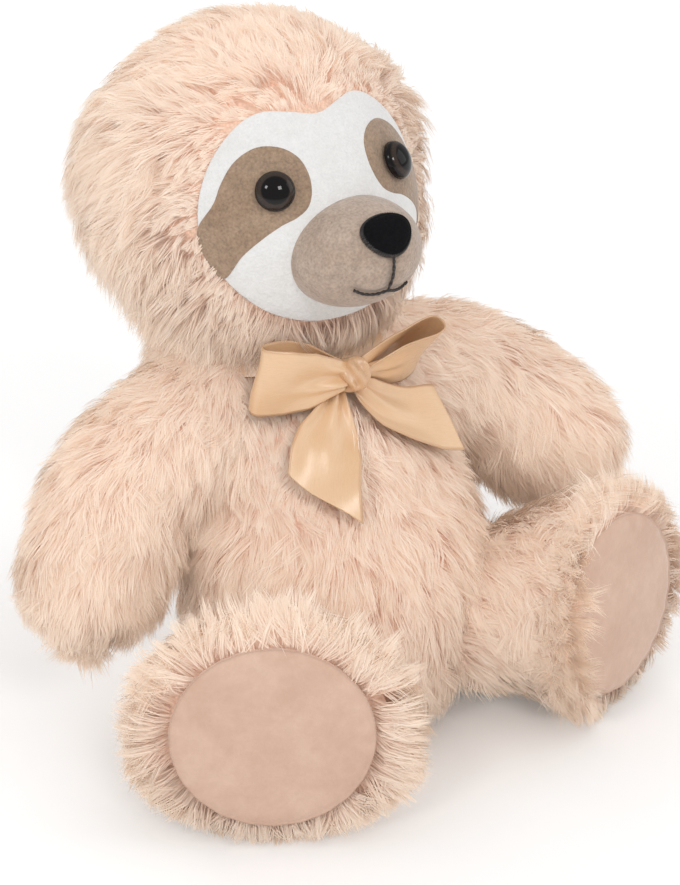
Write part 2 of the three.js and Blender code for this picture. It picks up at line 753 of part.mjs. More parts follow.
// An oval pad that faces +Z, from a depth behind its edge to a front that may crown.
function solePad(grow, depth, proud, crown) {
  const around = 24;
  const ring = (share, height) =>
    Array.from({ length: around }, (_, step) => {
      const angle = (2 * Math.PI * step) / around;
      return new THREE.Vector3(
        (soleHalfWidth + grow) * share * Math.cos(angle),
        (soleHalfHeight + grow) * share * Math.sin(angle),
        height,
      );
    });
  const ringShares = [0.7, 0.35];
  const front = ringShares.map((share) => ring(share, proud + crown * (1 - share ** 2)));
  const rings = [ring(1, -depth), ring(1, proud - soleRim), ring(0.97, proud), ...front];
  return closedLoft(new THREE.Vector3(0, 0, -depth), rings, new THREE.Vector3(0, 0, proud + crown));
}

// Ribbon: strips of one width and thickness, each along its own line
// A strip is a closed loft of four-cornered rings: each place has its middle and the way its width runs.
function strip(places) {
  const middles = places.map((place) => place.middle);
  const curve = curveThrough(middles);
  const ring = (place, index) => {
    const tangent = curve.getTangent(index / (places.length - 1));
    const across = place.across.clone().normalize();
    const through = new THREE.Vector3().crossVectors(tangent, across).normalize();
    const half = place.width / 2;
    const corner = (a, b) =>
      place.middle.clone().addScaledVector(across, a * half).addScaledVector(through, (b * ribbonThickness) / 2);
    return [corner(-1, -1), corner(1, -1), corner(1, 1), corner(-1, 1)];
  };
  return closedLoft(middles[0], places.map(ring), middles.at(-1));
}

// Straight out of the chest's fur, at an angle sideways from straight ahead and a height
function chestNormal(degrees, height) {
  const at = (turn, rise) => torsoPoint(rise, THREE.MathUtils.degToRad(turn - 90), 0);
  const across = at(degrees + 1, height).sub(at(degrees - 1, height));
  const upward = at(degrees, height + gap).sub(at(degrees, height - gap));
  return across.cross(upward).normalize();
}

function onChest(degrees, height, lift) {
  const place = torsoPoint(height, THREE.MathUtils.degToRad(degrees - 90), 0);
  return place.addScaledVector(chestNormal(degrees, height), lift);
}

// The ribbon gathered round the neck
function bandBody(grow) {
  const steps = 30;
  const [inner, outer] = [facetRoom + gap - grow, facetRoom + gap + ribbonThickness + grow];
  const sections = Array.from({ length: steps }, (_, step) => {
    const angle = (2 * Math.PI * step) / steps;
    const height = bandHeight - bandRise * Math.sin(angle);
    const corner = (rise, lift) => torsoPoint(height + rise * (bandWidth / 2 + grow), angle, lift);
    return [corner(-1, inner), corner(-1, outer), corner(1, outer), corner(1, inner)];
  });
  return solid(closedRing(sections.reverse()));
}

function buildBow() {
  piece(sloth, "ribbon_band", bandBody(0), satin);
  const bandRoom = solid(torsoLoft(2 * gap, -floorCut, torsoHeight)).add(bandBody(gap));
  piece(sloth, "bow_knot", knotBody(0).subtract(bandRoom), satin);
  buildBowLoops(bandRoom);
  buildBowTails();
}

const knotMiddle = new THREE.Vector3(0, -knotForward, knotHeight);

function knotBody(grow) {
  const body = new THREE.SphereGeometry(1, 16, 10);
  body.scale(knotHalfWidth + grow, knotHalfDepth + grow, knotHalfHeight + grow);
  return solid(body.translate(knotMiddle.x, knotMiddle.y, knotMiddle.z));
}

// Each loop leaves the knot in front, turns at its far end and comes back behind; its width leans with the chest.
const loopLength = { left: leftLoopLength, right: rightLoopLength };
const loopOpening = { left: leftLoopOpening, right: rightLoopOpening };
const loopShares = [
  // out from the knot, half the opening, width
  [0, 0.1, 0.42],
  [0.16, 0.3, 0.6],
  [0.4, 0.75, 0.88],
  [0.68, 1, 1],
  [0.9, 0.78, 1],
  [0.99, 0.35, 1],
];
const loopBackTurnDegrees = { left: 4, right: 18 };
const bowLeanDegrees = 27;

function buildBowLoops(bandRoom) {
  const lean = THREE.MathUtils.degToRad(bowLeanDegrees);
  const across = new THREE.Vector3(0, Math.sin(lean), Math.cos(lean));
  for (const [side, word] of [
    [1, "left"],
    [-1, "right"],
  ]) {
    const turn = THREE.MathUtils.degToRad(loopBackTurnDegrees[word]);
    const outward = new THREE.Vector3(side * Math.cos(turn), Math.sin(turn), 0);
    const ahead = new THREE.Vector3().crossVectors(outward, across).multiplyScalar(side).normalize();
    const start = knotMiddle.clone().addScaledVector(outward, knotHalfWidth / 2);
    const place = ([out, open, widthShare], layer) => ({
      middle: start
        .clone()
        .addScaledVector(outward, out * loopLength[word])
        .addScaledVector(ahead, (layer * open * loopOpening[word]) / 2 + layer * ribbonThickness),
      across,
      width: widthShare * ribbonWidth,
    });
    const there = loopShares.map((row) => place(row, 1));
    const back = loopShares.map((row) => place(row, -1)).reverse();
    piece(sloth, `bow_loop_${word}`, solid(strip([...there, ...back])).subtract(bandRoom).subtract(knotBody(gap)), satin);
  }
}

// The tails hang from the knot over the chest: degrees round from the front, and shares of the drop, lift and width
const tailDrop = { left: leftTailDrop, right: rightTailDrop };
const tailLift = { left: leftTailLift, right: rightTailLift };
const tailShares = {
  right: [
    [-6, 0.17, 0.25, 0.2],
    [-9, 0.29, 0.26, 0.3],
    [-13, 0.42, 0.3, 0.6],
    [-18, 0.56, 0.7, 1],
    [-23, 0.76, 0.7, 1],
    [-26, 1, 0.7, 1],
  ],
  left: [
    [6, 0.19, 0.2, 0.2],
    [9, 0.32, 0.25, 0.34],
    [17, 0.51, 0.25, 0.56],
    [27, 0.7, 0.5, 0.85],
    [37, 0.86, 0.8, 1],
    [45, 1, 1, 1],
  ],
};

function buildBowTails() {
  for (const [word, rows] of Object.entries(tailShares)) {
    const middles = rows.map(([degrees, drop, lift]) =>
      onChest(degrees, knotHeight - drop * tailDrop[word], lift * tailLift[word]),
    );
    const line = curveThrough(middles);
    const places = rows.map(([, , , widthShare], index) => {
      const tangent = line.getTangent(index / (rows.length - 1));
      const outward = chestNormal(rows[index][0], middles[index].z);
      return {
        middle: middles[index],
        across: new THREE.Vector3().crossVectors(outward, tangent),
        width: widthShare * ribbonWidth,
      };
    });
    piece(sloth, `bow_tail_${word}`, solid(strip(places)).subtract(knotBody(gap)), satin);
  }
}

buildTorso();
buildHead();
for (const [side, word] of [
  [1, "left"],
  [-1, "right"],
]) {
  buildArm(side, word);
  buildLeg(side, word, feet[word]);
}
buildBow();

export default sloth;
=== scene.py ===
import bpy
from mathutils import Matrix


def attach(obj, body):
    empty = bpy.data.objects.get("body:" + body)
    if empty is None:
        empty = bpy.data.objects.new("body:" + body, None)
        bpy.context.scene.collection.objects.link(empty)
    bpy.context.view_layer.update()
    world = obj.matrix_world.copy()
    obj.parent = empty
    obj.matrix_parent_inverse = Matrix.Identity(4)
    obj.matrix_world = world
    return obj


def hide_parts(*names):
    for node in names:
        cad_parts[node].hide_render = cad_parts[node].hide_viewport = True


bl_info = {
    "name": "Plush Sloth",
    "version": (1, 0, 0),
    "blender": (4, 5, 0),
    "location": "View3D > Sidebar > Plush Sloth",
    "description": "Dresses the packed frame of a sitting plush sloth in fur, face cloth, suede and satin",
    "category": "Add Mesh",
}

import math

import bpy
import numpy as np
from bpy.props import FloatProperty, FloatVectorProperty, IntProperty
from mathutils import Matrix

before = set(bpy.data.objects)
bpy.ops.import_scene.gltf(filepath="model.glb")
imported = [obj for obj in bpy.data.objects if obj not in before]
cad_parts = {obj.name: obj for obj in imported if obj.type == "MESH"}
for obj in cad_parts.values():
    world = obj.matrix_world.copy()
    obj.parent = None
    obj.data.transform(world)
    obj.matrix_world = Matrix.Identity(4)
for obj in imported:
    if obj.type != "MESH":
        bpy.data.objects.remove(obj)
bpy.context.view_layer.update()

# Shapes are worked out in millimetres and put into meshes in metres
MM = 0.001
UP = np.array([0.0, 0.0, 1.0])
FLOOR_GAP = 0.9  # how far the hides stay above the floor

# Torso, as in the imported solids: height, half width, half depth and lean, all as shares
TORSO_HEIGHT, TORSO_HALF_WIDTH, TORSO_HALF_DEPTH, TORSO_LEAN = 206.0, 71.0, 69.0, 50.0
TORSO_SHARES = np.array([
    [0, 0.6, 0.6, 0], [0.05, 0.82, 0.82, 0], [0.14, 0.95, 0.95, 0], [0.3, 1, 1, 0.01],
    [0.42, 0.985, 0.985, 0.12], [0.55, 0.88, 0.87, 0.38], [0.66, 0.76, 0.74, 0.61],
    [0.76, 0.62, 0.62, 0.78], [0.84, 0.49, 0.5, 0.87], [0.92, 0.43, 0.43, 0.94], [1, 0.41, 0.41, 1],
])
NECK_FULLNESS = 13.0

# Head: ovals for the skull and the cheeks, and the face in degrees sideways and up from straight ahead
HEAD_MIDDLE = np.array([0.0, 62.0, 232.0])
HEAD_LEAN = math.radians(19)
SKULL_MIDDLE, SKULL_HALF = np.array([0.0, 0.0, 0.0]), np.array([64.0, 61.0, 61.0])
CHEEK_MIDDLE, CHEEK_HALF = np.array([0.0, -18.0, -26.0]), np.array([52.0, 50.0, 48.0])
BLEND_POWER = 6
HEAD_TUCK = 1.2  # how far the head's hide lies below its packed surface
FACE_MIDDLE = np.array([0.0, -16.0])
FACE_HALF_DEGREES = [
    [0, 18.5], [12, 21.5], [22, 23.5], [31, 21.5], [40, 15], [47, 6.5], [52, -4],
    [54, -14], [53, -23], [49, -31], [43, -39], [34, -46], [19, -51.5], [0, -53],
]
PATCH_MIDDLE = np.array([30.0, -7.0])
PATCH_DEGREES = [
    [54.5, -22.5], [49.5, -31.0], [40, -24], [32, -19.5], [25, -16.5], [19.5, -15], [15, -12.5],
    [12.5, -8], [12, -2], [14, 4], [19, 8.5], [26, 10.5], [32, 9.5], [38, 6], [43, 0], [47, -6.5],
    [54.5, -14],
]
EYE_DEGREES = (25.0, -5.8)
EYE_SEAT, EYE_RADIUS, EYE_HEIGHT = 2.1, 8.3, 6.0
MUZZLE_MIDDLE = np.array([0.0, -66.0, -38.0])
MUZZLE_HALF = np.array([28.5, 30.0, 23.0])
NOSE_HALF_WIDTH, NOSE_HALF_HEIGHT, NOSE_HALF_DEPTH, NOSE_DROP = 11.2, 9.2, 4.6, 31.0

# Limbs: half width and half height as shares along them, and the places they pass
SIDES = {"left": 1, "right": -1}
ARM_RADIUS = 34.0
ARM_SHARES = np.array([
    [0, 0.7, 0.7], [0.2, 0.8, 0.76], [0.42, 0.97, 0.97], [0.62, 1, 1], [0.78, 0.98, 0.98],
    [0.88, 0.84, 0.84], [0.95, 0.58, 0.58], [0.985, 0.32, 0.32], [1, 0.06, 0.06],
])
ARM_PLACES = {
    "right": np.array([[-83.8, 29.7, 116.0], [-107.9, 22.1, 88.0], [-125.0, 11.7, 56.0]]),
    "left": np.array([[83.8, 22.1, 122.0], [107.9, 4.1, 104.0], [139.2, -24.8, 72.1]]),
}
ARM_ROOT_FULLNESS = 8.0
LEG_SHARES = np.array([
    [0, 0.56, 0.6], [0.3, 0.62, 0.66], [0.5, 0.68, 0.76], [0.7, 0.82, 0.88],
    [0.83, 0.96, 0.97], [0.92, 1, 1], [0.97, 0.95, 0.95], [1, 0.86, 0.86],
])
SHOULDER, HIP = np.array([52.0, 34.0, 130.0]), np.array([46.0, -40.0, 44.0])
SHOULDER_BALL, HIP_BALL = 26.0, 36.0
FOOT_HALF_WIDTH, FOOT_HALF_HEIGHT, FOOT_OUT = 57.0, 52.0, 92.0
HEEL_DEPTH, RIM_PROUD, RIM_INSET = 14.0, 6.0, 3.5
SOLE_HALF_WIDTH, SOLE_HALF_HEIGHT, SOLE_RISE = 42.0, 40.5, 2.0
FEET = {
    "right": {"side": -1, "forward": 88.0, "height": 50.5, "outward": 33.0, "tilt": 4.0},
    "left": {"side": 1, "forward": 86.0, "height": 51.0, "outward": 17.0, "tilt": 6.0},
}

# Bow: a loop's rows are shares of its length, its opening and the ribbon's width; a tail's rows are
# degrees round the chest and shares of its drop, its lift and the ribbon's width
KNOT_MIDDLE = np.array([0.0, -13.0, 161.0])
KNOT_HALF = (5.6, 8.6, 7.4)
BOW_LEAN = math.radians(27)
LOOPS = {
    "left": {"length": 40.0, "opening": 7.0, "turn": 8.0, "lean": -34.0, "rise": 1.0},
    "right": {"length": 39.0, "opening": 7.0, "turn": 14.0, "lean": -6.0, "rise": 4.0},
}
LOOP_SHARES = np.array([
    [0, 0.1, 0.42], [0.16, 0.3, 0.6], [0.4, 0.75, 0.88], [0.68, 1, 1], [0.9, 0.78, 1], [0.99, 0.35, 1],
])
TAILS = {
    "left": {"drop": 38.0, "lift": 11.0, "cut": 0.16},
    "right": {"drop": 53.0, "lift": 8.0, "cut": -0.34},
}
TAIL_SHARES = {
    "right": np.array([
        [-6, 0.17, 0.25, 0.2], [-11, 0.29, 0.26, 0.5], [-16, 0.42, 0.3, 0.85],
        [-21, 0.56, 0.6, 1], [-26, 0.76, 0.7, 1], [-29, 1, 0.7, 1],
    ]),
    "left": np.array([
        [6, 0.19, 0.2, 0.2], [9, 0.32, 0.25, 0.45], [17, 0.51, 0.25, 0.7],
        [27, 0.7, 0.5, 0.85], [37, 0.86, 0.8, 1], [45, 1, 1, 1],
    ]),
}


# Sizes and colours that a maker would change


def length_property(name, description, default):
    return FloatProperty(name=name, description=description, default=default, unit="LENGTH")


class SlothSizes(bpy.types.PropertyGroup):
    """Sizes of the fur and trim"""

    pile: length_property("Pile", "How thick the lying fur is", 0.008)
    fur_length: length_property("Fur length", "Length of a hair on the body", 0.024)
    foot_fur_length: length_property("Foot fur length", "Length of a hair round the soles", 0.025)
    hair_width: length_property("Hair width", "Width of one lock of hair", 0.00044)
    clump_radius: length_property("Clump radius", "Half the width of a clump at its roots", 0.0025)
    hairs_per_clump: IntProperty(
        name="Hairs per clump", description="How many locks gather to one tip", default=16, min=1
    )
    ribbon_width: length_property("Ribbon width", "Width of the satin ribbon", 0.031)
    ribbon_thickness: length_property("Ribbon thickness", "Thickness of the satin", 0.0006)


def colour_property(name, description, default):
    return FloatVectorProperty(
        name=name, description=description, default=default, subtype="COLOR", size=3, min=0, max=1
    )


class SlothColours(bpy.types.PropertyGroup):
    """Colours of the cloths, threads and plastics"""

    fur_tip: colour_property("Fur tips", "Pale ends of the hairs", (0.925, 0.79, 0.665))
    # Root colour: partly the fur's own deeper tone, partly painted shade for the gaps between locks
    fur_root_gap_shade: colour_property("Fur roots", "Deeper colour in the fur's gaps", (0.85, 0.58, 0.44))
    face: colour_property("Face cloth", "White short pile", (0.77, 0.765, 0.755))
    patch: colour_property("Eye patches", "Taupe short pile", (0.35, 0.245, 0.168))
    muzzle: colour_property("Muzzle cloth", "Grey taupe short pile", (0.44, 0.34, 0.272))
    nose: colour_property("Nose", "Black velour", (0.006, 0.006, 0.007))
    thread: colour_property("Thread", "Black embroidery thread", (0.016, 0.014, 0.014))
    pupil: colour_property("Pupil", "Black of the eye", (0.004, 0.003, 0.003))
    iris: colour_property("Iris", "Brown ring of the eye", (0.05, 0.034, 0.026))
    washer: colour_property("Washer", "Plastic behind the eye", (0.78, 0.78, 0.74))
    sole: colour_property("Soles", "Dusty pink suede", (0.635, 0.435, 0.33))
    satin: colour_property("Satin", "Peach gold ribbon", (0.80, 0.53, 0.31))
    floor: colour_property("Floor", "Pale floor", (0.9, 0.895, 0.89))


def sizes():
    return bpy.context.scene.sloth_sizes


def colours():
    return bpy.context.scene.sloth_colours


def in_mm(size):
    """One of the sizes above, in millimetres."""
    return getattr(sizes(), size) / MM


# Whole-array geometry


def unit(vectors):
    return vectors / np.maximum(np.linalg.norm(vectors, axis=-1, keepdims=True), 1e-12)


def dot(a, b):
    return np.sum(a * b, axis=-1, keepdims=True)


def smoothstep(value, low, high):
    share = np.clip((value - low) / (high - low), 0, 1)
    return share * share * (3 - 2 * share)


def turns(count):
    """Angles spaced evenly once round."""
    return np.linspace(0, 2 * np.pi, count, endpoint=False)


def tilted(angle):
    """The matrix that leans points back about the X axis."""
    c, s = math.cos(angle), math.sin(angle)
    return np.array([[1, 0, 0], [0, c, s], [0, -s, c]])


def cubic(a, b, slope_a, slope_b, t):
    """The cubic from a to b, with a slope at each end, while t goes from 0 to 1."""
    held = a * (1 - 3 * t**2 + 2 * t**3) + b * (3 * t**2 - 2 * t**3)
    return held + slope_a * (t**3 - 2 * t**2 + t) + slope_b * (t**3 - t**2)


def columns_at(at, keys, rows):
    """Straight values between rows that stand at keys."""
    return np.stack([np.interp(at, keys, column) for column in rows.T], -1)


def between(table, column, x):
    """A smooth value between a table's rows: a cubic on each span, with slopes from the rows beside it."""
    keys, values = table[:, 0], table[:, column]
    slopes = np.empty(len(keys))
    slopes[1:-1] = (values[2:] - values[:-2]) / (keys[2:] - keys[:-2])
    slopes[0] = (values[1] - values[0]) / (keys[1] - keys[0])
    slopes[-1] = (values[-1] - values[-2]) / (keys[-1] - keys[-2])
    row = np.clip(np.searchsorted(keys, x), 1, len(keys) - 1)
    step = keys[row] - keys[row - 1]
    t = np.clip((x - keys[row - 1]) / step, 0, 1)
    return cubic(values[row - 1], values[row], slopes[row - 1] * step, slopes[row] * step, t)


def curve_through(points, steps=120):
    """A line through points: cubics whose slopes weigh the neighbours by the root of their distance."""
    points = np.asarray(points, float)
    ends = np.concatenate([[2 * points[0] - points[1]], points, [2 * points[-1] - points[-2]]])
    moves = np.diff(ends, axis=0)
    gaps = np.sqrt(np.linalg.norm(moves, axis=1))[:, None]
    g0, g1, g2 = gaps[:-2], gaps[1:-1], gaps[2:]
    m0, m1, m2 = moves[:-2], moves[1:-1], moves[2:]
    slope_a = (m0 / g0 - (m0 + m1) / (g0 + g1) + m1 / g1) * g1
    slope_b = (m1 / g1 - (m1 + m2) / (g1 + g2) + m2 / g2) * g1
    t = np.linspace(0, 1, steps, endpoint=False)[None, :, None]
    line = cubic(points[:-1, None], points[1:, None], slope_a[:, None], slope_b[:, None], t)
    return np.concatenate([line.reshape(-1, points.shape[1]), points[-1:]])


def closed_outline(points, count):
    """Evenly spaced points on the smooth closed line through an outline's corners."""
    points = np.asarray(points, float)
    t = np.linspace(0, 1, 40, endpoint=False)[None, :, None]
    ahead = np.roll(points, -1, 0)
    slopes = (ahead - np.roll(points, 1, 0))[:, None] / 2
    line = cubic(points[:, None], ahead[:, None], slopes, np.roll(slopes, -1, 0), t).reshape(-1, 2)
    line = np.concatenate([line, line[:1]])
    lengths = lengths_along(line)
    return columns_at(np.linspace(0, lengths[-1], count, endpoint=False), lengths, line)


def lengths_along(line):
    return np.concatenate([[0], np.cumsum(np.linalg.norm(np.diff(line, axis=0), axis=1))])


def places_at(line, shares):
    """Points of a line at shares of its length, and the way it runs there."""
    lengths = lengths_along(line)
    at = np.asarray(shares) * lengths[-1]
    slopes = unit(np.gradient(line, axis=0))
    return columns_at(at, lengths, line), unit(columns_at(at, lengths, slopes))


def ring_normals(grid):
    """Outward directions on rings of points: the way round a ring crossed with the way along the rings."""
    around = np.roll(grid, -1, 1) - np.roll(grid, 1, 1)
    along = np.gradient(grid, axis=0)
    return unit(np.cross(around, along))


def outward_grid(grid):
    """A grid whose rings run the way that makes its faces point out, told by its signed volume."""
    outward = ring_normals(grid) * (grid - grid.mean(1, keepdims=True))
    return grid if np.sum(outward) >= 0 else grid[:, ::-1]


def look_up(grid, row, column):
    """Values between a grid's points, straight between its rows and round its rings."""
    rows, around = grid.shape[:2]
    row = np.clip(row, 0, rows - 1.001)
    r, c = row.astype(int), np.floor(column).astype(int)
    a, b = (row - r)[:, None], (column - c)[:, None]
    low = grid[r, c % around] * (1 - b) + grid[r, (c + 1) % around] * b
    high = grid[r + 1, c % around] * (1 - b) + grid[r + 1, (c + 1) % around] * b
    return low * (1 - a) + high * a


# Shapes of the body


def torso_oval(height):
    """Half width, half depth and how far the middle leans back, by the table."""
    wide, deep, middle = (between(TORSO_SHARES, k, height / TORSO_HEIGHT) for k in (1, 2, 3))
    return TORSO_HALF_WIDTH * wide, TORSO_HALF_DEPTH * deep, TORSO_LEAN * middle


def torso_place(height, angle, grow=0.0):
    """Points of the torso's surface, an oval at each height."""
    wide, deep, middle = torso_oval(height)
    y = middle + (deep + grow) * np.sin(angle)
    return np.stack([(wide + grow) * np.cos(angle), y, height + 0 * angle], -1)


def torso_grid(grow, rows=110, around=150, high=205.0):
    """Rings of the torso's hide, fuller at the sides and back of the neck, where the fur is thickest."""
    height, angle = np.meshgrid(np.linspace(FLOOR_GAP, high, rows), turns(around), indexing="ij")
    beside = 1 - smoothstep(-np.sin(angle), 0.3, 0.75)
    fuller = smoothstep(height, 112, 150) * (1 - 0.5 * smoothstep(height, 170, 195)) * beside
    return torso_place(height, angle, grow + NECK_FULLNESS * fuller)


def straight_out(surface, turn, rise, step):
    """The outward direction of a surface of two values, from a degree either way and a step either way."""
    across = surface(turn + 1, rise) - surface(turn - 1, rise)
    upward = surface(turn, rise + step) - surface(turn, rise - step)
    return unit(np.cross(across, upward))


def chest_place(degrees, height):
    """Points of the torso's surface at degrees round from its front."""
    return torso_place(height, np.radians(degrees - 90))


def reach_of(middle, half, direction):
    """How far a ray from the head's middle goes to an oval's far wall, from its quadratic equation."""
    way = direction / half
    start = -middle / half
    along = dot(way, start)
    size = dot(way, way)
    return (-along + np.sqrt(along**2 - size * (np.sum(start**2) - 1))) / size


def hide_radius(direction):
    """How far the hide is from the head's middle: the sixth-power sum of the skull's and cheeks' reach."""
    skull = reach_of(SKULL_MIDDLE, SKULL_HALF, direction)
    cheeks = reach_of(CHEEK_MIDDLE, CHEEK_HALF, direction)
    return (skull**BLEND_POWER + cheeks**BLEND_POWER) ** (1 / BLEND_POWER)


def facing(turn, rise):
    """A direction from the head's middle: degrees sideways from straight ahead, and degrees up."""
    t, r = np.radians(turn), np.radians(rise)
    return np.stack([np.sin(t) * np.cos(r), -np.cos(t) * np.cos(r), np.sin(r) + 0 * t], -1)


def degrees_of(direction):
    """The turn and rise of directions from the head's middle."""
    d = unit(direction)
    turn = np.degrees(np.arctan2(d[..., 0], -d[..., 1]))
    return np.stack([turn, np.degrees(np.arcsin(np.clip(d[..., 2], -1, 1)))], -1)


def head_to_toy(points):
    """Leans the head's own frame back and moves it onto the neck."""
    return points @ tilted(HEAD_LEAN).T + HEAD_MIDDLE


def toy_to_head(points):
    return (points - HEAD_MIDDLE) @ tilted(HEAD_LEAN)


def hide_place(turn, rise):
    """Points of the head's hide, in the head's own frame."""
    direction = facing(turn, rise)
    return direction * hide_radius(direction)


def head_grid(offset, rows=110, around=150):
    """The head's hide moved out by an offset, on rings from its lowest point to its highest."""
    r = np.radians(np.linspace(-89, 89, rows)[:, None] + np.zeros((1, around)))
    turn = turns(around)[None, :]
    direction = np.stack([np.cos(r) * np.cos(turn), np.cos(r) * np.sin(turn), np.sin(r) + 0 * turn], -1)
    return head_to_toy(direction * (hide_radius(direction) + offset))


def face_outline():
    right = [[-turn, rise] for turn, rise in FACE_HALF_DEGREES[1:-1]]
    return FACE_HALF_DEGREES + right[::-1]


def face_share(points):
    """How far points lie from the face's middle, in degrees, as a share of the way to its outline."""
    outline = closed_outline(face_outline(), 360) - FACE_MIDDLE
    bearing = np.arctan2(outline[:, 1], outline[:, 0])
    order = np.argsort(bearing)
    reach = np.hypot(outline[:, 0], outline[:, 1])[order]
    place = degrees_of(toy_to_head(points)) - FACE_MIDDLE
    here = np.arctan2(place[..., 1], place[..., 0])
    return np.hypot(place[..., 0], place[..., 1]) / np.interp(here, bearing[order], reach, period=2 * np.pi)


def limb_grid(line, shares, half_wide, half_tall, inset, end_inset, fullness=0.0, rows=90, around=96):
    """Oval rings square to a bent line, whose half sizes follow a table along it, fuller at the root."""
    length = lengths_along(line)[-1]
    share = np.sin(np.pi / 2 * np.linspace(0, 1, rows))
    middle, way = places_at(line, share * (1 - end_inset / length))
    tall = unit(UP - dot(way, UP) * way)
    wide = np.cross(tall, way)
    angle = turns(around)[None, :, None]
    inset = inset - fullness * (1 - smoothstep(share, 0.12, 0.5))
    half_a = np.maximum(half_wide * between(shares, 1, share) - inset, 1)[:, None, None]
    half_b = np.maximum(half_tall * between(shares, 2, share) - inset, 1)[:, None, None]
    across = wide[:, None] * half_a * np.cos(angle)
    return middle[:, None] + across + tall[:, None] * half_b * np.sin(angle)


def arm_line(word):
    shoulder = SHOULDER * [SIDES[word], 1, 1]
    elbow, wrist, paw = ARM_PLACES[word]
    inward = shoulder + unit(shoulder - elbow) * SHOULDER_BALL
    return curve_through([inward, shoulder, elbow, wrist, paw])


def arm_grid(word, inset):
    return limb_grid(arm_line(word), ARM_SHARES, ARM_RADIUS, ARM_RADIUS, inset, inset, ARM_ROOT_FULLNESS)


def sole_of(word):
    """The middle of a sole and the way that it faces."""
    foot = FEET[word]
    out, tilt = math.radians(foot["outward"]), math.radians(foot["tilt"])
    normal = np.array([
        foot["side"] * math.sin(out) * math.cos(tilt), -math.cos(out) * math.cos(tilt), math.sin(tilt)
    ])
    return np.array([foot["side"] * FOOT_OUT, -foot["forward"], foot["height"]]), normal


def sole_axes(word):
    """A sole's sideways and upward directions in its own plane."""
    _, normal = sole_of(word)
    across = unit(np.cross(UP, normal))
    return across, np.cross(normal, across)


def leg_line(word):
    hip = HIP * [SIDES[word], 1, 1]
    middle, normal = sole_of(word)
    heel = middle - normal * HEEL_DEPTH
    inward = hip + unit(hip - heel) * HIP_BALL
    return curve_through([inward, hip, heel, middle + normal * RIM_PROUD])


def leg_grid(word, inset):
    line = leg_line(word)
    grid = limb_grid(line, LEG_SHARES, FOOT_HALF_WIDTH, FOOT_HALF_HEIGHT, inset, inset + RIM_INSET)
    grid[..., 2] = np.maximum(grid[..., 2], FLOOR_GAP)
    return grid


# Meshes


def put_mesh(name, points, quads, triangles=None, corner_uv=None, uv_name="OFBake"):
    """Puts whole arrays of points in millimetres, quads and triangles into a smooth mesh at the origin."""
    triangles = np.empty((0, 3), int) if triangles is None else triangles
    mesh = bpy.data.meshes.new(name)
    mesh.vertices.add(len(points))
    mesh.vertices.foreach_set("co", (points * MM).astype(np.float32).ravel())
    corners = np.concatenate([quads.ravel(), triangles.ravel()]).astype(np.int32)
    mesh.loops.add(len(corners))
    mesh.loops.foreach_set("vertex_index", corners)
    starts = np.concatenate([4 * np.arange(len(quads)), quads.size + 3 * np.arange(len(triangles))])
    mesh.polygons.add(len(starts))
    mesh.polygons.foreach_set("loop_start", starts.astype(np.int32))
    mesh.polygons.foreach_set("use_smooth", np.ones(len(starts), bool))
    if corner_uv is not None:
        layer = mesh.uv_layers.new(name=uv_name)
        layer.data.foreach_set("uv", corner_uv.astype(np.float32).ravel())
    mesh.update(calc_edges=True)
    mesh.validate()
    obj = bpy.data.objects.new(name, mesh)
    bpy.context.scene.collection.objects.link(obj)
    return obj


def grid_faces(rows, across, looped, joined=False):
    """Quads between a grid's rows. Looped rows close, and joined ones also join the last to the first."""
    r, c = np.meshgrid(np.arange(rows - (not joined)), np.arange(across - (not looped)), indexing="ij")
    n, m = (c + 1) % across, (r + 1) % rows
    corners = [r * across + c, r * across + n, m * across + n, m * across + c]
    return np.stack(corners, -1).reshape(-1, 4)


def put_closed(name, grid):
    """A closed piece from rings: fans of triangles to the middles of the first and last ring close it."""
    rows, around = grid.shape[:2]
    points = np.concatenate([grid.reshape(-1, 3), grid[:1].mean(1), grid[-1:].mean(1)])
    c = np.arange(around)
    n = (c + 1) % around
    first, last = rows * around, (rows - 1) * around
    front = np.stack([np.full(around, first), n, c], -1)
    back = np.stack([last + c, last + n, np.full(around, first + 1)], -1)
    return put_mesh(name, points, grid_faces(rows, around, True), np.concatenate([front, back]))


def put_ring(name, grid):
    """A ring-shaped piece: its last ring joins its first."""
    return put_mesh(name, grid.reshape(-1, 3), grid_faces(*grid.shape[:2], True, True))


def put_strip(name, grid, uv):
    """An open sheet from a grid of points, with its own map in millimetres."""
    quads = grid_faces(*grid.shape[:2], False)
    return put_mesh(name, grid.reshape(-1, 3), quads, None, uv.reshape(-1, 2)[quads.ravel()], "ribbon_map")


def finish_piece(obj, material, slot, body, *nodes):
    """Gives a piece its material, the body it rides on and the nodes it stands for. Its slot is not used."""
    obj.data.materials.append(material)
    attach(obj, body)
    if nodes:
        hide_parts(*nodes)
    return obj


def put_padded(name, grid, material, slot, body, fill, *nodes):
    """A stuffed cloth piece."""
    obj = put_closed(name, grid)
    finish_piece(obj, material, slot, body, *nodes)
    return obj


def redress(node, material):
    """Gives a CAD node that stays in view its material."""
    for slot in bpy.data.objects[node].material_slots:
        slot.material = material


# Shading


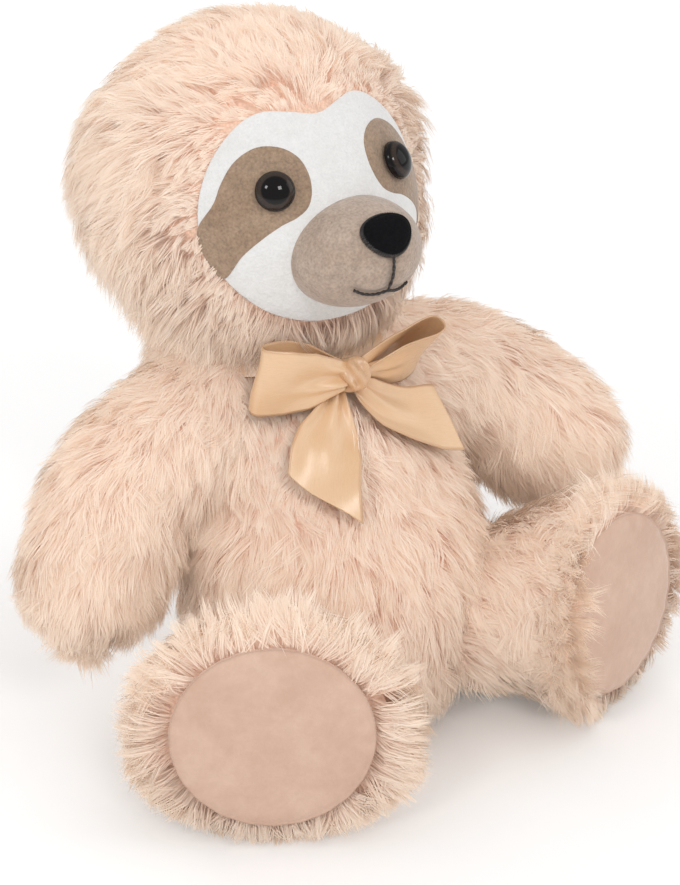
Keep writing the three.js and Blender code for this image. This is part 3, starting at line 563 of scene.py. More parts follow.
class Shading:
    """A node tree, with short ways to add the nodes that its groups and materials share."""

    def __init__(self, tree, shader=None):
        self.nodes, self.links, self.shader = tree.nodes, tree.links, shader

    def give(self, socket, given):
        """Links an output to a socket, or sets the socket to a number, a colour or a vector."""
        if isinstance(given, bpy.types.NodeSocket):
            self.links.new(given, socket)
        elif socket.type == "RGBA":
            socket.default_value = (*given[:3], 1)
        else:
            socket.default_value = given

    def add(self, kind, out=0, **given):
        """A new node's output, once its inputs have what is given for them."""
        node = self.nodes.new("ShaderNode" + kind)
        for title, value in given.items():
            self.give(node.inputs[title], value)
        return node.outputs[out]

    def math(self, operation, a, b=None, clamp=False):
        node = self.nodes.new("ShaderNodeMath")
        node.operation, node.use_clamp = operation, clamp
        self.give(node.inputs[0], a)
        if b is not None:
            self.give(node.inputs[1], b)
        return node.outputs[0]

    def mix(self, factor, a, b, blend="MIX"):
        """A blend of two colours."""
        node = self.nodes.new("ShaderNodeMix")
        node.data_type, node.blend_type = "RGBA", blend
        for place, given in ((0, factor), (6, a), (7, b)):
            self.give(node.inputs[place], given)
        return node.outputs[2]

    def tint(self, colour, by):
        """A colour multiplied by another."""
        return self.mix(1.0, colour, by, "MULTIPLY")

    def spread(self, value, low, high, to_low=0.0, to_high=1.0):
        """A value between low and high, carried over to another range and kept inside it."""
        node = self.nodes.new("ShaderNodeMapRange")
        for socket, given in zip(node.inputs, (value, low, high, to_low, to_high)):
            self.give(socket, given)
        return node.outputs[0]

    def noise(self, place, scale, detail=3.0, roughness=0.55, distortion=0.0):
        inputs = {"Vector": place, "Scale": scale, "Detail": detail, "Roughness": roughness}
        return self.add("TexNoise", "Fac", **inputs, Distortion=distortion)

    def wave(self, place, scale, distortion, direction="X"):
        bands = self.add("TexWave", "Fac", Vector=place, Scale=scale, Distortion=distortion)
        bands.node.bands_direction = direction
        return bands

    def place(self, map_name=None):
        """The object's own coordinates, or one of its maps."""
        if map_name is None:
            return self.nodes.new("ShaderNodeTexCoord").outputs["Object"]
        node = self.nodes.new("ShaderNodeUVMap")
        node.uv_map = map_name
        return node.outputs[0]

    def split(self, vector):
        """The first two parts of a vector."""
        node = self.nodes.new("ShaderNodeSeparateXYZ")
        self.links.new(vector, node.inputs[0])
        return node.outputs[0], node.outputs[1]

    def surface(self, colour, height=None, strength=0.5, depth=0.0006, roughness=None):
        """Joins a colour, a bump and a roughness to the material's shader."""
        self.links.new(colour, self.shader.inputs["Base Color"])
        if roughness is not None:
            self.links.new(roughness, self.shader.inputs["Roughness"])
        if height is not None:
            bump = self.add("Bump", 0, Strength=strength, Distance=depth, Height=height)
            self.links.new(bump, self.shader.inputs["Normal"])

    def cover(self, group, strength, depth, *given):
        """Places a shared group, gives it its place, colour and values, and joins it to the shader."""
        node = self.nodes.new("ShaderNodeGroup")
        node.node_tree = group
        for socket, value in zip(node.inputs, given):
            self.give(socket, value)
        colour, height, roughness = node.outputs
        self.surface(colour, height, strength, depth, roughness)


def shaded(colour, by, more=0.0):
    """A colour made darker or lighter, and no more than full."""
    return [min(1, part * by + more) for part in colour]


# Shared node groups


def shared_group(name, build, colour, *values):
    """A shader node group, built once: from a place, a colour and values to colour, height and roughness."""
    if name in bpy.data.node_groups:
        return bpy.data.node_groups[name]
    group = bpy.data.node_groups.new(name, "ShaderNodeTree")
    kinds = {"Place": "Vector", colour: "Color", "Colour": "Color"}
    taken_titles, given_titles = ("Place", colour, *values), ("Colour", "Height", "Roughness")
    for direction, titles in (("INPUT", taken_titles), ("OUTPUT", given_titles)):
        for title in titles:
            kind = "NodeSocket" + kinds.get(title, "Float")
            group.interface.new_socket(title, in_out=direction, socket_type=kind)
    taken, given = group.nodes.new("NodeGroupInput"), group.nodes.new("NodeGroupOutput")
    made = build(Shading(group), *taken.outputs[: len(taken_titles)])
    for socket, output in zip(given.inputs, made):
        group.links.new(output, socket)
    return group


def short_pile(tree, place, cloth, cloudiness, grain):
    """Short plush pile: cloudy brushed patches in colour, and fine tufts for the bump."""
    clouds = tree.noise(place, 70, 4, 0.6, 0.6)
    tufts = tree.noise(place, 900, 2, 0.5)
    brushed = tree.noise(place, 260, 3, 0.55, 0.3)
    cloudy = tree.math("MULTIPLY", tree.spread(clouds, 0.35, 0.68), cloudiness)
    base = tree.mix(cloudy, cloth, tree.tint(cloth, (0.80, 0.745, 0.70)))
    strands = tree.math("ADD", tufts, tree.math("MULTIPLY", brushed, 0.7))
    uneven = tree.math("MULTIPLY", tree.spread(strands, 0.55, 1.15, -1.0, 1.0), grain)
    level = tree.math("ADD", uneven, 0.98)
    grey = tree.add("CombineColor", 0, Red=level, Green=level, Blue=level)
    height = tree.math("ADD", tree.math("MULTIPLY", tufts, 0.6), brushed)
    return tree.tint(base, grey), height, tree.spread(brushed, 0.3, 0.7, 0.82, 0.96)


def satin_weave(tree, place, satin):
    """Satin on a map in millimetres: long floats along the ribbon, fine ribs across and firm edges."""
    streaks = tree.noise(tree.add("Mapping", 0, Vector=place, Scale=(0.15, 3.2, 1)), 1.0, 4, 0.6)
    ribs = tree.wave(place, 0.62, 0.6)
    soft = tree.tint(satin, (0.83, 0.76, 0.70))
    base = tree.mix(tree.spread(streaks, 0.35, 0.75, 0.0, 0.7), satin, soft)
    edge = tree.spread(tree.math("ABSOLUTE", tree.split(place)[1]), 14.0, 14.6)
    firm = tree.mix(edge, base, tree.tint(base, (0.86, 0.80, 0.76)))
    height = tree.math("ADD", tree.math("MULTIPLY", ribs, 0.25), tree.math("MULTIPLY", streaks, 0.5))
    height = tree.math("ADD", height, tree.math("MULTIPLY", edge, 0.8))
    return firm, height, tree.spread(streaks, 0.3, 0.7, 0.24, 0.38)


def brushed_suede(tree, place, suede):
    """Brushed suede: broad pressed blotches, strokes of the nap and a fine grain."""
    blotches = tree.noise(place, 40, 6, 0.72, 0.15)
    strokes = tree.noise(place, 190, 4, 0.62, 0.3)
    grain = tree.noise(place, 1400, 2, 0.5)
    pressed, raised = tree.tint(suede, (0.92, 0.88, 0.865)), tree.tint(suede, (1.05, 1.06, 1.07))
    base = tree.mix(tree.spread(blotches, 0.38, 0.64), pressed, raised)
    brushed = tree.mix(tree.spread(strokes, 0.4, 0.75, 0, 0.6), base, pressed)
    height = tree.math("ADD", tree.math("MULTIPLY", grain, 0.35), strokes)
    return brushed, height, tree.spread(blotches, 0.35, 0.65, 0.9, 0.78)


# Materials


def new_material(name, values):
    """A material whose shader has the given values, and its nodes."""
    material = bpy.data.materials.new(name)
    material.use_nodes = True
    shader = material.node_tree.nodes["Principled BSDF"]
    for title, value in values.items():
        shader.inputs[title].default_value = value
    return material, Shading(material.node_tree, shader)


def cloth_material(name, colour, cloudiness, grain, sheen=0.35, shine=0.35):
    """Short plush cloth."""
    values = {"Roughness": 0.9, "Sheen Weight": sheen, "Sheen Roughness": 0.5, "Specular IOR Level": shine}
    material, tree = new_material(name, values)
    group = shared_group("Short pile", short_pile, "Cloth", "Cloudiness", "Grain")
    tree.cover(group, 0.55, 0.0011, tree.place(), colour, cloudiness, grain)
    return material


def fur_material():
    """Hairs, deep at the root and pale at the tip: the deep roots are partly the fur's own colour and partly
    painted shade for the gaps between locks. Their map holds a lock's tone and the way along it.
    """
    if "Peach fur" in bpy.data.materials:
        return bpy.data.materials["Peach fur"]
    tip, root = colours().fur_tip, colours().fur_root_gap_shade
    values = {"Roughness": 0.7, "Specular IOR Level": 0.2}
    values |= {"Sheen Weight": 0.45, "Sheen Tint": (*tip, 1), "Sheen Roughness": 0.5}
    material, tree = new_material("Peach fur", values)
    tone, along = tree.split(tree.place("OFBake"))
    body = tree.mix(tree.spread(along, 0.0, 0.72), root, tip)
    deep, pale = tree.tint(body, (0.93, 0.86, 0.82)), tree.tint(body, (1.03, 1.04, 1.05))
    tree.surface(tree.mix(tone, deep, pale))
    return material


def hide_material():
    """Knitted backing of the fur: small loops in rows, in the roots' colour, which carries painted shade for
    the fur's gaps.
    """
    material, tree = new_material("Knitted backing", {"Roughness": 0.9})
    loops = tree.add("TexVoronoi", "Distance", Vector=tree.place(), Scale=620)
    # the root colour here carries painted shade for the gaps between locks
    root = colours().fur_root_gap_shade
    spread = tree.spread(loops, 0.1, 0.7)
    tree.surface(tree.mix(spread, shaded(root, 1.12), shaded(root, 0.86)), loops, 0.5, 0.0006)
    return material


def satin_material(name, mapped):
    """Satin on the ribbon's own map, or on the object's coordinates brought to millimetres."""
    values = {"Roughness": 0.3, "Specular IOR Level": 1.0, "Anisotropic": 0.4}
    material, tree = new_material(name, values | {"Coat Weight": 0.6, "Coat Roughness": 0.3})
    if mapped:
        place = tree.place("ribbon_map")
    else:
        place = tree.add("Mapping", 0, Vector=tree.place(), Scale=(1000, 1000, 1000))
    group = shared_group("Satin weave", satin_weave, "Satin")
    tree.cover(group, 0.35, 0.00018, place, colours().satin)
    return material


def suede_material():
    values = {"Roughness": 0.86, "Sheen Weight": 0.45, "Sheen Roughness": 0.45}
    material, tree = new_material("Pink suede", values)
    group = shared_group("Brushed suede", brushed_suede, "Suede")
    tree.cover(group, 0.5, 0.0006, tree.place(), colours().sole)
    return material


def thread_material(name, shine):
    """Twisted embroidery thread: slanted plies with a soft gloss, and a painted sheen that lightens each
    ply's raised crest.
    """
    material, tree = new_material(name, {"Roughness": 0.5, "Specular IOR Level": shine})
    colour = colours().thread
    plies = tree.wave(tree.place(), 420, 1.2, "DIAGONAL")
    # each ply's raised crest is painted lighter: a painted sheen
    tone = tree.spread(plies, 0.2, 0.9, 0.0, 0.7)
    tree.surface(tree.mix(tone, colour, shaded(colour, 3.2, 0.01)), plies, 0.6, 0.0003)
    return material


def eye_material():
    """A safety eye on its own radial map: black pupil, brown ring with fine spokes, and black rim."""
    material, tree = new_material("Eye plastic", {"Roughness": 0.08, "Specular IOR Level": 0.34})
    eye_map = tree.place("eye_map")
    radial = tree.split(eye_map)[1]
    ring = tree.math("SUBTRACT", tree.spread(radial, 0.66, 0.74), tree.spread(radial, 0.86, 0.93), True)
    spokes = tree.noise(tree.add("Mapping", 0, Vector=eye_map, Scale=(6, 0.25, 1)), 26, 3, 0.5)
    iris = colours().iris
    brown = tree.mix(tree.spread(spokes, 0.3, 0.7), shaded(iris, 0.5), iris)
    colour = tree.mix(ring, colours().pupil, brown)
    tree.surface(colour, roughness=tree.spread(radial, 0.9, 1.0, 0.06, 0.2))
    return material


def washer_material():
    """Moulded plastic with a faint flow pattern."""
    material, tree = new_material("Washer plastic", {"Roughness": 0.4})
    flow = tree.noise(tree.place(), 220, 3, 0.5, 1.5)
    base = colours().washer
    colour = tree.mix(tree.spread(flow, 0.3, 0.7), shaded(base, 0.9), base)
    tree.surface(colour, flow, 0.2, 0.0002, tree.spread(flow, 0.3, 0.7, 0.34, 0.5))
    return material


# Fur

HAIR_STEPS = np.array([0.0, 0.38, 0.72, 1.0])
HAIR_WIDTHS = np.array([0.85, 1.0, 0.72])
SWIRL_TURN = 0.3  # radians that each wave turns the comb by
SWIRL_WAVES = np.array([[0.15, 0.06, 0.12], [-0.09, 0.12, 0.16]])  # radians per millimetre along x, y and z
SWIRL_STARTS = np.array([1.0, 2.5])
LOCKS = {"torso": 103000, "head": 100000, "arm": 46000, "leg": 57000}
SEEDS = {"torso": 11, "head": 23, "arm": {"left": 31, "right": 37}, "leg": {"left": 41, "right": 47}}
# What chance does: radians of turning, and shares of a length, a lift, a pull to the clump and a width
CLUMP_STRAY, HAIR_STRAY, LOCK_TWIST = 0.33, 0.16, 0.34
CLUMP_LENGTHS, HAIR_LENGTHS = (0.82, 1.1), (0.72, 1.08)
CLUMP_LIFTS, HAIR_LIFTS = (0.7, 1.3), (0.75, 1.3)
CLUMP_PULLS, LOCK_WIDTHS = (0.2, 0.8), (0.6, 1.3)
CLUMP_TONE, HAIR_TONE = 0.16, 0.12
LOWEST_HAIR = 0.35
# Locks that would start deeper than this inside another body aren't grown
HEAD_DEPTH, TORSO_DEPTH, LIMB_DEPTH_SHARE = 4, 10, 0.88
NOSE_WAY = (0.0, -10.0)  # the head's fur is combed away from this turn and rise


def scatter_clumps(grid, count, rng):
    """Hair roots on a grid: clump middles fall by area, and a clump's hairs in a disc round its middle."""
    rows, around = grid.shape[:2]
    down = np.diff(grid, axis=0)
    across = (np.roll(grid, -1, 1) - grid)[:-1]
    area = np.linalg.norm(np.cross(down, across), axis=-1)
    per_clump = sizes().hairs_per_clump
    clumps = max(1, count // per_clump)
    cell = rng.choice(area.size, clumps, p=(area / area.sum()).ravel())
    row = cell // around + rng.random(clumps)
    column = cell % around + rng.random(clumps)
    step_row = np.linalg.norm(down, axis=-1).ravel()[cell]
    step_column = np.linalg.norm(across, axis=-1).ravel()[cell]
    clump = np.repeat(np.arange(clumps), per_clump)
    radius = in_mm("clump_radius") * rng.uniform(0.55, 1.35, clumps)[clump]
    reach = radius * np.sqrt(rng.random(len(clump)))
    turn = rng.random(len(clump)) * 2 * np.pi
    hair_row = np.clip(row[clump] + reach * np.cos(turn) / step_row[clump], 0, rows - 1)
    hair_column = column[clump] + reach * np.sin(turn) / step_column[clump]
    return hair_row, hair_column, row, column, clump


def hair_lines(root, normal, comb, length, lift, sag):
    """Four places on each hair: it leaves the hide at its lift, bends over and lies along its comb."""
    first = unit(normal * lift + comb * (1 - lift))
    last = unit(normal * lift * 0.22 + comb - sag * UP)
    middle = root + first * length * 0.45
    tip = middle + last * length * 0.55
    t = HAIR_STEPS[:, None, None]
    return (1 - t) ** 2 * root + 2 * t * (1 - t) * middle + t**2 * tip


def turned(vectors, axis, angle):
    """Vectors square to an axis, turned about it."""
    return vectors * np.cos(angle) + np.cross(axis, vectors) * np.sin(angle)


def flat_on(normal, vectors):
    """Directions laid flat against a surface."""
    return unit(vectors - dot(vectors, normal) * normal)


def grow_hairs(grid, count, habit, seed):
    """Lines of hair over a hide. A habit gives roots their comb, length, lift, sag, tone and if they grow."""
    rng = np.random.default_rng(seed)
    normals = ring_normals(grid)
    row, column, clump_row, clump_column, clump = scatter_clumps(grid, count, rng)
    root, normal = look_up(grid, row, column), unit(look_up(normals, row, column))
    clump_root = look_up(grid, clump_row, clump_column)
    clump_normal = unit(look_up(normals, clump_row, clump_column))
    clumps, hairs = len(clump_root), len(root)
    told = habit(clump_root, clump_normal)
    # clumps: every one lies along the comb, turned by the swirl and by chance
    swirl = SWIRL_TURN * np.sin(clump_root @ SWIRL_WAVES.T + SWIRL_STARTS).sum(1)
    stray = (rng.normal(0, CLUMP_STRAY, clumps) + swirl)[:, None]
    clump_comb = turned(flat_on(clump_normal, told["comb"]), clump_normal, stray)
    clump_length = told["length"][:, None] * rng.uniform(*CLUMP_LENGTHS, clumps)[:, None]
    clump_lift = told["lift"][:, None] * rng.uniform(*CLUMP_LIFTS, clumps)[:, None]
    sag = told["sag"][:, None]
    clump_line = hair_lines(clump_root, clump_normal, clump_comb, clump_length, clump_lift, sag)
    # hairs: each follows its clump, with its own length and lift, and is pulled to the clump's line
    grows = told["grows"][clump] & habit(root, normal)["grows"]
    comb = flat_on(normal, clump_comb[clump])
    comb = turned(comb, normal, rng.normal(0, HAIR_STRAY, hairs)[:, None])
    length = clump_length[clump] * rng.uniform(*HAIR_LENGTHS, hairs)[:, None]
    lift = clump_lift[clump] * rng.uniform(*HAIR_LIFTS, hairs)[:, None]
    line = hair_lines(root, normal, comb, length, lift, sag[clump])
    steps = HAIR_STEPS[:, None, None]
    pull = rng.uniform(*CLUMP_PULLS, clumps)[clump][:, None] * steps**1.2
    line = line + (clump_line[:, clump] - line) * pull
    phase = rng.random(clumps)[clump][:, None] * 2 * np.pi
    sway = np.sin(steps * 4.2 + phase) * steps
    line = line + unit(np.cross(comb, normal)) * sway * length * 0.05
    line[..., 2] = np.maximum(line[..., 2], LOWEST_HAIR)
    tone = told["tone"][clump] + rng.normal(0, CLUMP_TONE, clumps)[clump] + rng.normal(0, HAIR_TONE, hairs)
    return line[:, grows], normal[grows], np.clip(tone[grows], 0.03, 0.97), rng


def put_fur(name, line, normal, tone, rng, body):
    """Flat tapering locks that face outward: three pairs of edge points and a tip, five triangles each."""
    count = line.shape[1]
    way = unit(np.gradient(line, axis=0))
    side = unit(np.cross(way, normal + rng.normal(0, 0.02, normal.shape)))
    square = np.cross(side, way)
    twist = rng.normal(0, LOCK_TWIST, (1, count, 1))
    edge = side * np.cos(twist) + square * np.sin(twist)
    width = in_mm("hair_width") * rng.uniform(*LOCK_WIDTHS, count)
    half = edge[:3] * (HAIR_WIDTHS[:, None] * width[None] / 2)[..., None]

    def by_lock(beside, beyond, tips):
        pairs = np.stack([beside, beyond], 1).reshape(6, count, 3)
        return np.concatenate([pairs, tips]).transpose(1, 0, 2)

    points = by_lock(line[:3] - half, line[:3] + half, line[3:])
    corners = np.array([[0, 1, 3], [0, 3, 2], [2, 3, 5], [2, 5, 4], [4, 5, 6]])
    triangles = (7 * np.arange(count)[:, None, None] + corners).reshape(-1, 3)
    along = np.repeat(HAIR_STEPS, [2, 2, 2, 1]) * 0.96 + 0.02
    apart = np.array([-1, 1, -1, 1, -1, 1, 0]) * 0.006
    spots = np.stack([tone[:, None] + apart, np.broadcast_to(along, (count, 7))], -1).reshape(-1, 2)
    obj = put_mesh(name, points.reshape(-1, 3), np.empty((0, 4), int), triangles, spots[triangles.ravel()])
    rounding = edge[:3] * 0.25
    out = unit(square[:3] * 0.2 + normal[None])
    given = by_lock(out - rounding, out + rounding, unit(square[3:] * 0.2 + normal[None]))
    given = unit(given.reshape(-1, 3))
    obj.data.normals_split_custom_set_from_vertices(given.astype(np.float32))
    # fine hairs let light through, so a lock shades the ones under it by its colour and not by a shadow
    obj.visible_shadow = False
    return finish_piece(obj, fur_material(), "fur", body)


def split_fur(names, hairs, body, order):
    """Shares hairs out to several pieces by their order, so that no mesh grows too large."""
    line, normal, tone, rng = hairs
    ranks = np.array_split(np.argsort(order(line[0])), len(names))
    for name, chosen in zip(names, ranks):
        put_fur(name, line[:, chosen], normal[chosen], tone[chosen], rng, body)


def inside_rings(points, grid, share):
    """Whether points lie inside a limb: nearer a ring's middle than a share of that ring's least radius."""
    middles = grid.mean(1)
    least = np.linalg.norm(grid - middles[:, None], axis=-1).min(1)
    away = np.linalg.norm(points[:, None] - middles[None], axis=-1)
    return (away < least[None] * share).any(1)


def inside_head(points):
    local = toy_to_head(points)
    away = np.linalg.norm(local, axis=-1)
    return away < hide_radius(unit(local))[:, 0] - HEAD_DEPTH


def inside_torso(points):
    wide, deep, middle = torso_oval(np.clip(points[:, 2], 1, TORSO_HEIGHT - 1))
    x = points[:, 0] / (wide - TORSO_DEPTH)
    y = (points[:, 1] - middle) / (deep - TORSO_DEPTH)
    return (x**2 + y**2 < 1) & (points[:, 2] < TORSO_HEIGHT)


def under_bow(root):
    """How far roots are from the ribbon, seen from the front, because fur is pressed flat under it."""
    lines = [curve_through(tail_pieces(word)[0], 8) for word in SIDES]
    lines += [curve_through(loop_pieces(word)[0][: len(LOOP_SHARES)], 6) for word in SIDES]
    ribbon = np.concatenate(lines)[:, [0, 2]] + np.array([0, 7.0])
    away = np.linalg.norm(root[:, None, [0, 2]] - ribbon[None], axis=-1).min(1)
    far = 99.0
    return np.where(root[:, 1] < 25, away, far)


def body_habit():
    """The torso's fur is combed down and a little outward, and lies pressed under the bow."""
    pile = in_mm("pile")
    limbs = [grid(word, pile) for grid in (arm_grid, leg_grid) for word in SIDES]

    def habit(root, normal):
        hidden = inside_head(root)
        for limb in limbs:
            hidden |= inside_rings(root, limb, LIMB_DEPTH_SHARE)
        pressed = 1 - smoothstep(under_bow(root), 6, 17)
        length = in_mm("fur_length") * np.where(root[:, 2] < 25, 0.8, 1.0)
        return {
            "comb": -UP + normal * [0.6, 0.6, 0],
            "length": length * (1 - 0.5 * pressed),
            "lift": (0.42 + 0.2 * smoothstep(root[:, 2], 110, 150)) * (1 - 0.6 * pressed),
            "sag": 0.25 * (1 - pressed),
            # tone falls toward the torso's front: painted shade on the belly under the head and arms
            "tone": 0.5 - 0.15 * smoothstep(-root[:, 1], 0, 60),
            "grows": ~hidden & (root[:, 2] > 1.5),
        }

    return habit


def head_habit(root, normal):
    """The head's fur is short beside the face and combed away from it, and down at the sides and back."""
    local = toy_to_head(root)
    ahead = facing(*NOSE_WAY)
    away = flat_on(ahead, local) @ tilted(HEAD_LEAN).T + np.array([0, 0.9, 0.0])
    under = smoothstep(-normal[:, 2], 0.1, 0.7)
    behind = smoothstep(-dot(unit(local), ahead)[:, 0], -0.25, 0.55)[:, None]
    beside = smoothstep(np.abs(normal[:, 0]), 0.55, 0.95)
    comb = away * (1 - behind) - UP * behind
    comb = comb - 0.85 * UP * smoothstep(np.abs(root[:, 0]), 10, 50)[:, None] - 0.6 * UP * under[:, None]
    comb = comb * (1 - 0.45 * beside[:, None]) - 0.2 * UP * beside[:, None]
    share = face_share(root)
    grown = np.maximum(smoothstep(share, 1.0, 1.4), 0.8 * under)
    length = in_mm("fur_length") * (0.24 + 0.86 * grown + 0.36 * beside * grown)
    return {
        "comb": comb,
        "length": length * (1 - 0.22 * smoothstep(normal[:, 2], 0.5, 0.9)),
        "lift": 0.5 + 0.14 * grown + 0.28 * beside,
        "sag": 0.12 + 0.16 * grown + 0.3 * under,
        "tone": np.full(len(root), 0.66),
        "grows": (share > 0.985) & ~(inside_torso(root) & (root[:, 2] < 190)),
    }


def arm_habit(word):
    """An arm's fur is combed along it to the paw, and hangs."""
    rings, ways = places_at(arm_line(word), np.linspace(0, 1, 40))

    def habit(root, normal):
        near = np.argmin(np.linalg.norm(root[:, None] - rings[None], axis=-1), 1)
        count = len(root)
        return {
            "comb": ways[near] - 0.7 * UP + 0.25 * normal,
            "length": np.full(count, in_mm("fur_length")),
            "lift": 0.42 + 0.2 * smoothstep(root[:, 2], 105, 145),
            "sag": np.full(count, 0.3),
            "tone": np.full(count, 0.55),
            "grows": ~(inside_torso(root) | inside_head(root)),
        }

    return habit


def leg_habit(word):
    """A leg's fur is combed to the foot, and stands out round the sole as a long rim."""
    middle, ahead = sole_of(word)
    across, upward = sole_axes(word)

    def habit(root, normal):
        offset = root - middle
        wide = dot(offset, across) / (SOLE_HALF_WIDTH + 0.3)
        tall = (dot(offset, upward) - SOLE_RISE) / (SOLE_HALF_HEIGHT + 0.3)
        along = dot(offset, ahead)
        under_sole = ((wide**2 + tall**2)[:, 0] < 1) & (along[:, 0] > -4.5)
        near = smoothstep(along[:, 0], -34, -6)
        outward = near[:, None] * flat_on(ahead, offset) * 1.2
        length = sizes().fur_length + (sizes().foot_fur_length - sizes().fur_length) * near
        return {
            "comb": (ahead - 0.45 * UP) * (1 - 0.8 * near[:, None]) + outward,
            "length": length * (0.5 + 0.5 * smoothstep(root[:, 2], 4, 40)) / MM,
            "lift": 0.4 + 0.3 * near,
            "sag": 0.25 - 0.17 * near,
            "tone": 0.55 + 0.06 * near,
            "grows": ~(inside_torso(root) | under_sole) & (root[:, 2] > 1.2),
        }

    return habit


# Face


def face_cloth(outline, middle, side, offsets, around=160):
    """A cloth on the head: its outline shrunk ring by ring, each ring at its own height off the hide."""
    edge = closed_outline(outline, around)[::-1]
    shares, lift = np.array(offsets).T[:, :, None, None]
    places = middle + (edge[None] - middle) * shares
    direction = facing(side * places[..., 0], places[..., 1])
    grid = direction * (hide_radius(direction) + lift)
    return head_to_toy(grid[:, ::-1] if side < 0 else grid)


def pillow_rows(count, height, crown, tuck):
    """Shares and heights of a sewn cloth from its tucked back to its crowned middle."""
    back = [(0.12, -tuck), (0.6, -tuck), (0.97, -tuck), (1.0, -tuck * 0.6), (1.0, height * 0.35)]
    edge = [(0.992, height * 0.8), (0.975, height)]
    inner = [(share, height + crown * (1 - share**2)) for share in np.linspace(0.95, 0.02, count)]
    return back + edge + inner


def muzzle_front(across, rise):
    flat = 1 - (across / MUZZLE_HALF[0]) ** 2 - (rise / MUZZLE_HALF[2]) ** 2
    return MUZZLE_HALF[1] * np.sqrt(np.maximum(flat, 0))


def on_muzzle(across, drop, lift):
    """Points on the muzzle's front, lifted off it along its own outward direction, in the head's frame."""
    across, drop = np.asarray(across, float), np.asarray(drop, float)
    point = np.stack([across, -muzzle_front(across, drop), -drop], -1)
    return point + unit(point / MUZZLE_HALF**2) * lift + MUZZLE_MIDDLE


def mouth_lines():
    """The smile and the stem above it, as places across the muzzle and down it."""
    across = np.array([-0.53, -0.38, -0.19, 0, 0.16, 0.3, 0.42]) * MUZZLE_HALF[0]
    drop = np.array([0.56, 0.67, 0.73, 0.72, 0.76, 0.75, 0.68]) * MUZZLE_HALF[2]
    stem = np.array([0.1, 0.22, 0.46, 0.7]) * MUZZLE_HALF[2]
    return (across, drop), (np.zeros(4), stem)


def muzzle_grid(rows=100, around=140):
    """An oval with rings from its back to its front, pressed in by a groove along the mouth's thread."""
    depth, width = 1.5, 2.6
    way = np.linspace(-0.985, 0.995, rows)[:, None] * np.pi / 2
    angle = turns(around)[None, :]
    direction = [np.cos(way) * np.cos(angle), -np.sin(way) + 0 * angle, np.cos(way) * np.sin(angle)]
    point = np.stack(direction, -1) * MUZZLE_HALF
    sewn = [on_muzzle(*line, 0) - MUZZLE_MIDDLE for line in mouth_lines()]
    dense = np.concatenate([curve_through(line, 14) for line in sewn])
    away = np.linalg.norm(point[:, :, None] - dense[None, None], axis=-1).min(-1)
    groove = depth * np.exp(-((away / width) ** 2))
    point = point - unit(point / MUZZLE_HALF**2) * groove[..., None]
    return head_to_toy(point + MUZZLE_MIDDLE)[:, ::-1]


def tube_grid(line, radius, around, ply, twists):
    """A tube along a line, lobed by its ply and twisted along the line as thread is."""
    count = len(line)
    way = unit(np.gradient(line, axis=0))
    side = unit(np.cross(way, UP + np.array([0, -0.01, 0])))
    top = np.cross(side, way)
    share = np.linspace(0, 1, count)[:, None]
    angle = turns(around)[None, :]
    lobes = 1 + ply * np.cos(2 * angle + 2 * np.pi * twists * share)
    taper = np.clip(np.minimum(share, 1 - share) * count / 2, 0.15, 1)
    section = np.cos(angle)[..., None] * top[:, None] + np.sin(angle)[..., None] * side[:, None]
    return line[:, None] + (radius * lobes * taper)[..., None] * section


def nose_outline(angle):
    """Places across and up the nose's outline, wider above and rounded to a point below."""
    across = NOSE_HALF_WIDTH * np.cos(angle) * (1 + 0.13 * np.sin(angle))
    return across, NOSE_HALF_HEIGHT * (np.sin(angle) * 0.97 + 0.05 * np.cos(2 * angle))


def nose_grid(rows=46, around=80):
    """A cushioned nose: its outline domed in front, flatter behind and drawn in by a seam near its edge."""
    angle = turns(around)[None, :]
    across, up = nose_outline(angle)
    way = np.linspace(-0.97, 0.98, rows)[:, None] * np.pi / 2
    share = np.cos(way) ** 0.72
    ahead = NOSE_HALF_DEPTH * np.sign(np.sin(way)) * np.abs(np.sin(way)) ** 0.9
    seam = 0.35 * np.exp(-(((np.abs(share) - 0.86) / 0.05) ** 2)) * (way > 0)
    return nose_place(np.stack([across * share, -(ahead - seam) + 0 * angle, up * share], -1))


def nose_place(local):
    """Tilts a nose-frame shape onto the muzzle's front above its middle, into the toy's frame."""
    rise = -MUZZLE_MIDDLE[2] - NOSE_DROP
    front = muzzle_front(0.0, rise)
    tilt = math.atan2(rise * MUZZLE_HALF[1] ** 2, MUZZLE_HALF[2] ** 2 * front)
    return head_to_toy(local @ tilted(tilt).T + np.array([0, MUZZLE_MIDDLE[1] - front, -NOSE_DROP]))


def nose_rim_grid(steps=420, around=8, stitches=70):
    """Satin stitches round the nose: a ring-shaped tube whose section swells and sinks with each stitch."""
    angle = turns(steps)
    across, up = nose_outline(angle)
    line = np.stack([across, np.full(steps, 0.6), up], -1) * [0.975, 1, 0.975]
    out = unit(line * [1, 0, 1])
    radius = 1.0 * (1 + 0.22 * np.sin(angle * stitches))
    section = turns(around)[None, :, None]
    beside = out[:, None] * np.cos(section) * 0.8
    ahead = np.array([0, 1.0, 0]) * np.sin(section) * 1.5
    return nose_place(line[:, None] + radius[:, None, None] * (beside - ahead))


